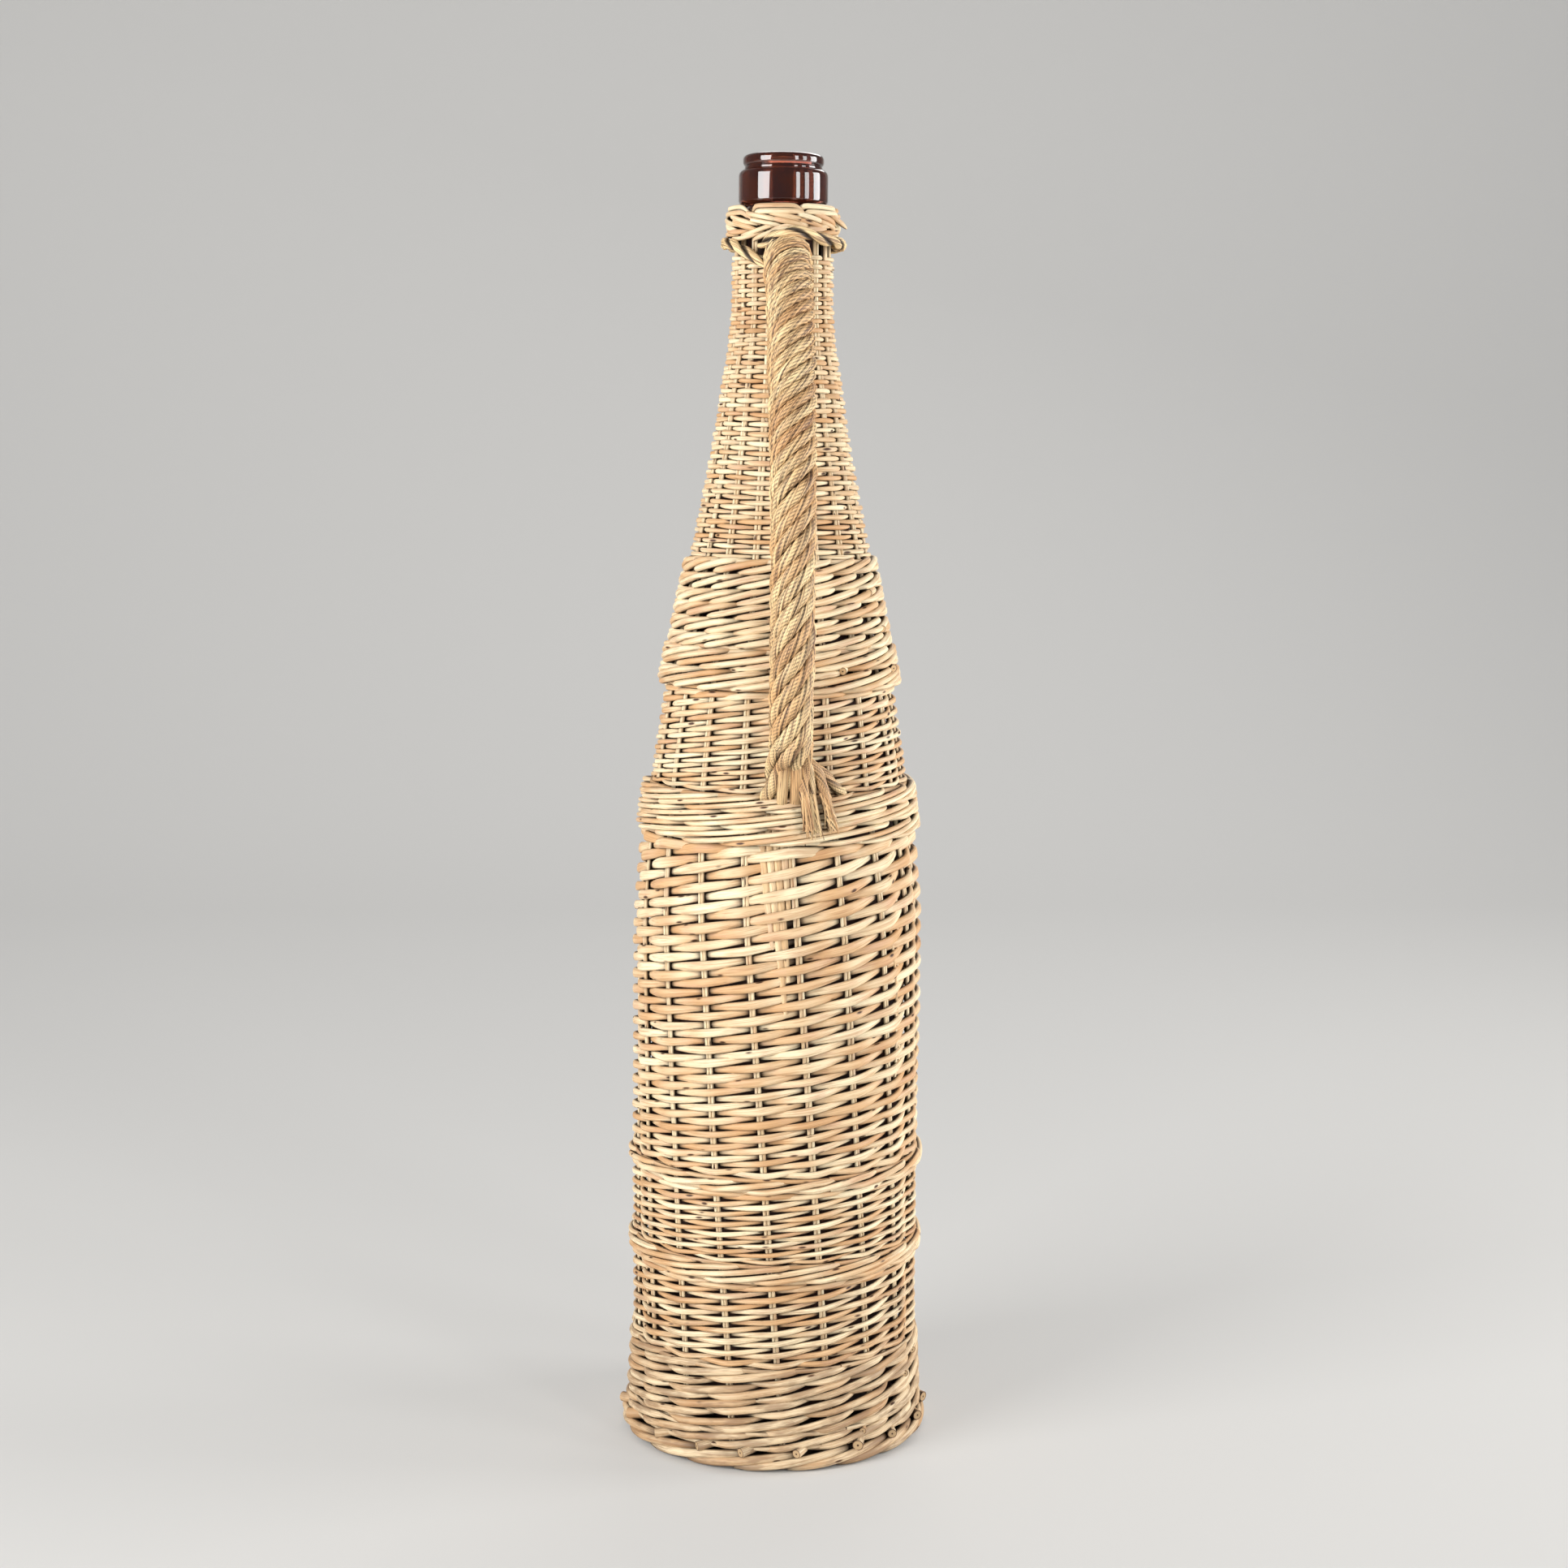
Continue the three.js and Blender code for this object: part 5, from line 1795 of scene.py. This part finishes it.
    @classmethod
    def _knots(cls, graph: Graph, place: Value, strength: Value) -> Socket:
        """Finds the knots.

        Args:
            graph: the group's graph.
            place: where on the rod.
            strength: how dark the knots are.

        Returns:
            1 in a knot, 0 beside it.
        """
        inputs = {"Vector": graph.stretch(place, cls.SPOTS), "Scale": 1.0, "Randomness": 1.0}
        spots = graph.add("ShaderNodeTexVoronoi", inputs)
        chosen = graph.add("ShaderNodeSeparateColor", {0: spots.outputs["Color"]}).outputs[0]
        near = graph.ramp(spots.outputs["Distance"], 0.2, 0.08)
        knots = graph.math("MULTIPLY", near, graph.math("GREATER_THAN", chosen, cls.PLAIN_SPOTS))
        return graph.math("MULTIPLY", knots, strength)

    @classmethod
    def _cut_end(cls, graph: Graph, given: object) -> Socket:
        """Colours a cut end.

        Args:
            graph: the group's graph.
            given: the group's inputs.

        Returns:
            The colour of a cut end: pale, with faint rings, a dark middle and a dark edge.
        """
        reach = graph.add("ShaderNodeVectorMath", {0: given["Along"]}, operation="LENGTH").outputs["Value"]
        rings = graph.ramp(graph.math("SINE", graph.math("MULTIPLY", reach, cls.RINGS)), -0.6, 0.9)
        colour = graph.mix(graph.math("MULTIPLY", rings, 0.5), given["Pith"], given["Warm"])
        colour = graph.mix(graph.ramp(reach, *cls.PITH_EDGE), colour, given["Knot"])
        return graph.mix(graph.ramp(reach, *cls.BARK_EDGE), colour, given["Knot"])


@dataclass(frozen=True)
class WillowFinish:
    """Colours, wear and painted shade of one kind of willow in the basket."""

    name: str
    pale: Colour = (240, 224, 188)
    warm: Colour = (206, 164, 118)
    blush: Colour = (212, 166, 136)
    streak: Colour = (170, 122, 78)
    knot: Colour = (66, 38, 24)
    dirt: Colour = (128, 94, 62)
    # colour of the painted shade in the weave's crevices, grooves and furrows
    shade: Colour = (34, 19, 11)
    pith: Colour = (204, 172, 128)
    grain: float = 0.55
    knots: float = 1.0
    weathering: float = 0.06
    foot_darkening: float = 0.45  # how much more of the Dirt colour's patches is added towards the foot, so that low rods are darker
    foot_reach: float = 240 * MM  # height that this begins at
    bump: float = 0.25
    bump_depth: float = 0.4 * MM
    specular: float = 0.35

    def material(self) -> bpy.types.Material:
        """Makes the material.

        Returns:
            The finish as a material.
        """
        made, graph, shader = new_material(self.name)
        inputs = {"Along": graph.add("ShaderNodeUVMap", uv_map="UVMap").outputs[0]}
        for name in ("tone", "inner", "cut"):
            inputs[name.capitalize()] = graph.add("ShaderNodeAttribute", attribute_name=name).outputs["Fac"]
        place = graph.add("ShaderNodeTexCoord").outputs["Object"]
        low = graph.ramp(graph.add("ShaderNodeSeparateXYZ", {0: place}).outputs["Z"], self.foot_reach, 0.0)
        inputs["Weathering"] = graph.math("MULTIPLY_ADD", low, self.foot_darkening, self.weathering)
        for name in ("grain", "knots"):
            inputs[name.capitalize()] = getattr(self, name)
        for name in WillowGroup.COLOURS:
            inputs[name] = srgb(*getattr(self, name.lower()))
        group = graph.add("ShaderNodeGroup", inputs, node_tree=WillowGroup.make()).outputs
        relief = {"Strength": self.bump, "Distance": self.bump_depth, "Height": group["Height"]}
        surface = {"Base Color": group["Colour"], "Roughness": group["Roughness"]}
        surface["Normal"] = graph.add("ShaderNodeBump", relief).outputs[0]
        graph.feed(shader, surface | {"Specular IOR Level": self.specular})
        return made


@dataclass(frozen=True)
class GlassFinish:
    """Dark amber glass, faintly wavy, clean above the basket and dull with dust inside it."""

    name: str = "dark_amber_glass"
    # Tint and shade are partly the glass's own dark amber and partly a painted reflection of a bluish room,
    # which makes both greyer and bluer
    tint: Colour = (128, 66, 42)
    shade: Colour = (98, 58, 54)
    ior: float = 1.52
    roughness: float = 0.015
    clearness: float = 0.85
    dusty_below: float = 868 * MM  # height of the basket's top
    dust: float = 0.8  # roughness that it adds inside the basket

    def material(self) -> bpy.types.Material:
        """Makes the material.

        Returns:
            The finish as a material.
        """
        made, graph, shader = new_material(self.name)
        place = graph.add("ShaderNodeTexCoord").outputs["Object"]
        dust = graph.noise(place, (60, 60, 60), 4.0)
        waves = graph.noise(place, (26, 26, 9), 1.0)
        height = graph.add("ShaderNodeSeparateXYZ", {0: place}).outputs["Z"]
        hidden = graph.ramp(height, self.dusty_below + 4 * MM, self.dusty_below)
        rough = graph.math("MULTIPLY_ADD", graph.ramp(dust, 0.55, 0.85), 0.04, self.roughness)
        rough = graph.math("MULTIPLY_ADD", hidden, self.dust, rough)
        coat = graph.math("MULTIPLY_ADD", hidden, -0.6, 0.6)
        colour = graph.mix(graph.ramp(dust, 0.35, 0.7), srgb(*self.tint), srgb(*self.shade))
        relief = {"Strength": 0.1, "Distance": 1 * MM, "Height": waves}
        surface = {"Base Color": colour, "Roughness": rough, "Coat Weight": coat}
        surface["Normal"] = graph.add("ShaderNodeBump", relief).outputs[0]
        graph.feed(shader, surface | {"IOR": self.ior, "Transmission Weight": self.clearness})
        return made


FINISHES: dict[Slot, WillowFinish | GlassFinish] = {
    Slot.GLASS: GlassFinish(),
    Slot.WILLOW: WillowFinish("weaver_willow"),
    Slot.UPRIGHT: WillowFinish("upright_willow_rods", warm=(216, 182, 136), weathering=0.12),
    Slot.HANDLE: WillowFinish(
        "handle_willow_strands", pale=(252, 222, 168), warm=(218, 170, 116), blush=(216, 170, 124),
        streak=(96, 54, 28), grain=1.0, knots=0.3, bump=0.7, specular=0.5,
    ),
    Slot.FOOT: WillowFinish(
        "foot_willow_rods", pale=(224, 202, 166), warm=(190, 154, 114), blush=(186, 154, 124),
        dirt=(120, 90, 64), pith=(176, 150, 114), grain=0.5, weathering=0.1,
    ),
    Slot.BASE: WillowFinish("base_willow_rods", pale=(212, 184, 138), warm=(184, 146, 98), weathering=0.3),
}


def dress(pieces: list[Piece]) -> None:
    """Gives each piece the finish of its slot.

    Args:
        pieces: the finished pieces.
    """
    made = {slot.value: finish.material() for slot, finish in FINISHES.items()}
    for piece in pieces:
        piece.data.materials.clear()
        piece.data.materials.append(made[piece["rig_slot"]])


# Studio


@dataclass(frozen=True)
class Lamp:
    """A soft rectangular light that faces the bottle."""

    name: str
    azimuth: float  # degrees from the handle's side, towards +X
    distance: float
    height: float
    size: Pair
    power: float

    def place(self, target: Vector) -> None:
        """Puts the light where it belongs.

        Args:
            target: what it faces.
        """
        data = bpy.data.lights.new(self.name, "AREA")
        data.shape = "RECTANGLE"
        data.size, data.size_y = self.size
        data.energy = self.power
        lamp = linked(self.name, data)
        turn = math.radians(self.azimuth)
        spot = target + self.distance * Vector((math.sin(turn), -math.cos(turn), 0))
        spot.z = self.height
        aim = (spot - target).to_track_quat("Z", "Y").to_matrix().to_4x4()
        lamp.matrix_world = Matrix.Translation(spot) @ aim


@dataclass
class Studio:
    """A pale floor and backdrop, soft light from the left, and the camera."""

    lens: float = 57.77  # in millimetres, as the sensor's width is
    sensor: float = 36.0
    eye_height: float = 0.703
    eye_distance: float = 1.783
    eye_azimuth: float = math.radians(-4)
    pitch: float = math.radians(7.46)
    roll: float = math.radians(0.5)
    pan: float = math.radians(0.13)
    floor_size: float = 7.0
    floor_colour: Colour = (206, 204, 200)
    seen_colour: Colour = (222, 221, 219)
    glow: float = 0.45  # how much of the seen colour the camera gets, for 1 as all
    foot_shade: Pair = (96 * MM, 112 * MM)  # reach within which the floor doesn't glow, which leaves it darker round the foot as a painted contact shadow
    target_height: float = 0.45  # that the lamps face
    air_colour: Colour = (226, 229, 234)
    air: float = 0.16  # its strength as a light; the camera sees it at 1
    lamps: tuple[Lamp, ...] = (
        Lamp("left_window", -56, 2.3, 1.0, (1.3, 1.9), 80),
        Lamp("right_window", 92, 2.2, 0.9, (0.9, 1.7), 42),
        Lamp("first_strip", 34, 2.4, 0.95, (0.4, 1.6), 18),
        Lamp("second_strip", 59, 2.4, 0.95, (0.5, 1.6), 18),
        Lamp("back_window", 165, 2.4, 2.4, (1.6, 1.0), 24),
    )

    def build(self, form: BasketForm) -> None:
        """Sets up the stage round the bottle.

        Args:
            form: where the basket's parts lie.
        """
        self._camera(form)
        self._floor()
        for lamp in self.lamps:
            lamp.place(Vector((0, form.centre_y, self.target_height)))
        self._world()
        bpy.context.scene.view_settings.view_transform = "Standard"

    def _camera(self, form: BasketForm) -> None:
        """Puts the camera at the photograph's angle.

        Args:
            form: where the basket's parts lie.
        """
        data = bpy.data.cameras.new("camera")
        data.lens, data.sensor_width = self.lens, self.sensor
        camera = linked("camera", data)
        aim = Vector((math.sin(self.eye_azimuth), -math.cos(self.eye_azimuth), 0))
        place = Vector((0, form.centre_y, self.eye_height)) + aim * self.eye_distance
        turn = Matrix.Rotation(self.eye_azimuth - self.pan, 4, "Z")
        tilt = Matrix.Rotation(math.pi / 2 - self.pitch, 4, "X")
        roll = Matrix.Rotation(self.roll, 4, "Z")
        camera.matrix_world = Matrix.Translation(place) @ turn @ tilt @ roll
        bpy.context.scene.camera = camera

    def _floor(self) -> None:
        """Makes the floor with its backdrop as one curved sheet."""
        select_nothing()
        bpy.ops.mesh.primitive_plane_add(size=self.floor_size, location=(0, 0, 0))
        floor = bpy.context.object
        floor.name = floor.data.name = "studio_floor"
        select_edges(floor, lambda start, end: start.y > 0 and end.y > 0)
        bpy.ops.mesh.extrude_region_move(TRANSFORM_OT_translate={"value": (0, 0, self.floor_size)})
        select_edges(floor, lambda start, end: min(start.y, end.y) > 0 and max(start.z, end.z) < 1 * MM)
        bpy.ops.mesh.bevel(offset=self.floor_size * 0.2, segments=12, affect="EDGES")
        bpy.ops.object.mode_set(mode="OBJECT")
        bpy.ops.object.shade_smooth()
        floor.data.materials.append(self._sheet())

    def _sheet(self) -> bpy.types.Material:
        """Makes the floor's finish: plain to the light, paler to the camera, with a painted contact shadow
        round the foot.

        Returns:
            The finish as a material.
        """
        made, graph, shader = new_material("studio_sheet")
        matt = {"Base Color": srgb(*self.floor_colour), "Roughness": 0.9, "Specular IOR Level": 0.1}
        graph.feed(shader, matt)
        glow = graph.add("ShaderNodeEmission", {"Color": srgb(*self.seen_colour), "Strength": 1.0})
        seen = graph.add("ShaderNodeLightPath").outputs["Is Camera Ray"]
        place = graph.add("ShaderNodeTexCoord").outputs["Object"]
        reach = graph.add("ShaderNodeVectorMath", {0: place}, operation="LENGTH").outputs["Value"]
        # No glow near the foot: a painted contact shadow
        beside = graph.math("MULTIPLY", graph.ramp(reach, *self.foot_shade), self.glow)
        inputs = {0: graph.math("MULTIPLY", seen, beside), 1: shader.outputs[0], 2: glow.outputs[0]}
        mixed = graph.add("ShaderNodeMixShader", inputs).outputs[0]
        graph.feed(made.node_tree.nodes["Material Output"], {"Surface": mixed})
        return made

    def _world(self) -> None:
        """Fills the shadows evenly."""
        world = bpy.data.worlds.new("studio_air")
        world.use_nodes = True
        graph = Graph(world.node_tree)
        seen = graph.add("ShaderNodeLightPath").outputs["Is Camera Ray"]
        strength = graph.math("MULTIPLY_ADD", seen, 1 - self.air, self.air)
        back = world.node_tree.nodes["Background"]
        graph.feed(back, {"Color": srgb(*self.air_colour), "Strength": strength})
        bpy.context.scene.world = world


# Assembly


# Depth of the rods at the bottom and the top of each zone that the stakes follow
DEPTHS: dict[str, Pair] = {
    "foot_wale": (5.4 * MM, 5.0 * MM),
    "low_rand": (3.7 * MM, 3.7 * MM),
    "mid_rand": (3.3 * MM, 3.6 * MM),
    "body_rand": (3.8 * MM, 5.0 * MM),
    "waist_rand": (3.3 * MM, 3.8 * MM),
    "upper_rand": (3.3 * MM, 3.2 * MM),
    "neck_rand": (3.0 * MM, 2.8 * MM),
}


def weave() -> list[Rand | Wale]:
    """Lists the woven zones.

    Returns:
        The zones from the foot to the neck.
    """

    def rand(node: str, rows: int, **shape: object) -> Rand:
        """Returns one rand, with its rods' depths."""
        return Rand(node, rows, depths=DEPTHS[node], **shape)

    return [
        Wale(
            "foot_wale", courses=5, run=2, depth=5.3 * MM, rod_share=0.92, taper=0.6, seed=11, slot=Slot.FOOT,
            packings=(0.0, 0.18, 0.27, 1.0), cut_ends=((2.02, 0.62), (2.5, 0.83), (0.62, 0.14)),
        ),
        rand("low_rand", 14, spread=0.94, rod_share=1.04, seed=12),
        Wale("low_band", courses=1, run=3, depth=4.4 * MM, seed=13, rod_share=0.84, laps=(0.3, 0.3)),
        rand("mid_rand", 14, spread=0.7, rod_share=1.06, seed=14),
        Wale("mid_band", courses=1, run=2, depth=4.2 * MM, seed=15, rod_share=0.84, laps=(0.3, 0.3)),
        rand("body_rand", 40, spread=0.58, rod_share=1.16, seed=16, liners=True),
        Wale("shoulder_band", courses=3, run=3, depth=5.0 * MM, seed=17, wander=0.2),
        rand("waist_rand", 18, spread=0.72, seed=18),
        Wale("waist_band", courses=2, run=3, depth=6.0 * MM, seed=19, cut_ends=((1.35, 0.5), (3.4, 0.45))),
        Wale(
            "shoulder_wale", courses=6, run=2, depth=5.6 * MM, rod_share=0.93, taper=0.65, seed=20,
            cut_ends=((2.7, 0.62), (3.2, 0.2)),
        ),
        rand("upper_rand", 40, rod_share=1.1, squareness=2.3, seed=21, unevenness=1.5, level=True),
        rand("neck_rand", 22, rod_share=1.1, squareness=2.3, seed=22, level=True),
    ]


def main() -> None:
    """Builds the looks piece by piece and finishes them."""
    logging.basicConfig(level=logging.INFO, format="%(name)s: %(message)s")
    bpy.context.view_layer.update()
    form = BasketForm(DEPTHS)
    pieces = [GlassBottle().build(form), *(zone.build(form) for zone in weave())]
    pieces += [*Uprights().build(form), *Liners().build(form)]
    pieces += [FootBorder().build(form), NeckBorder().build(form), *Base().build(form)]
    pieces += Handle().build(form)
    dress(pieces)
    for piece in pieces:
        log.info("%s: %d faces", piece.name, len(piece.data.polygons))
    Studio().build(form)


if __name__ == "__main__":
    main()
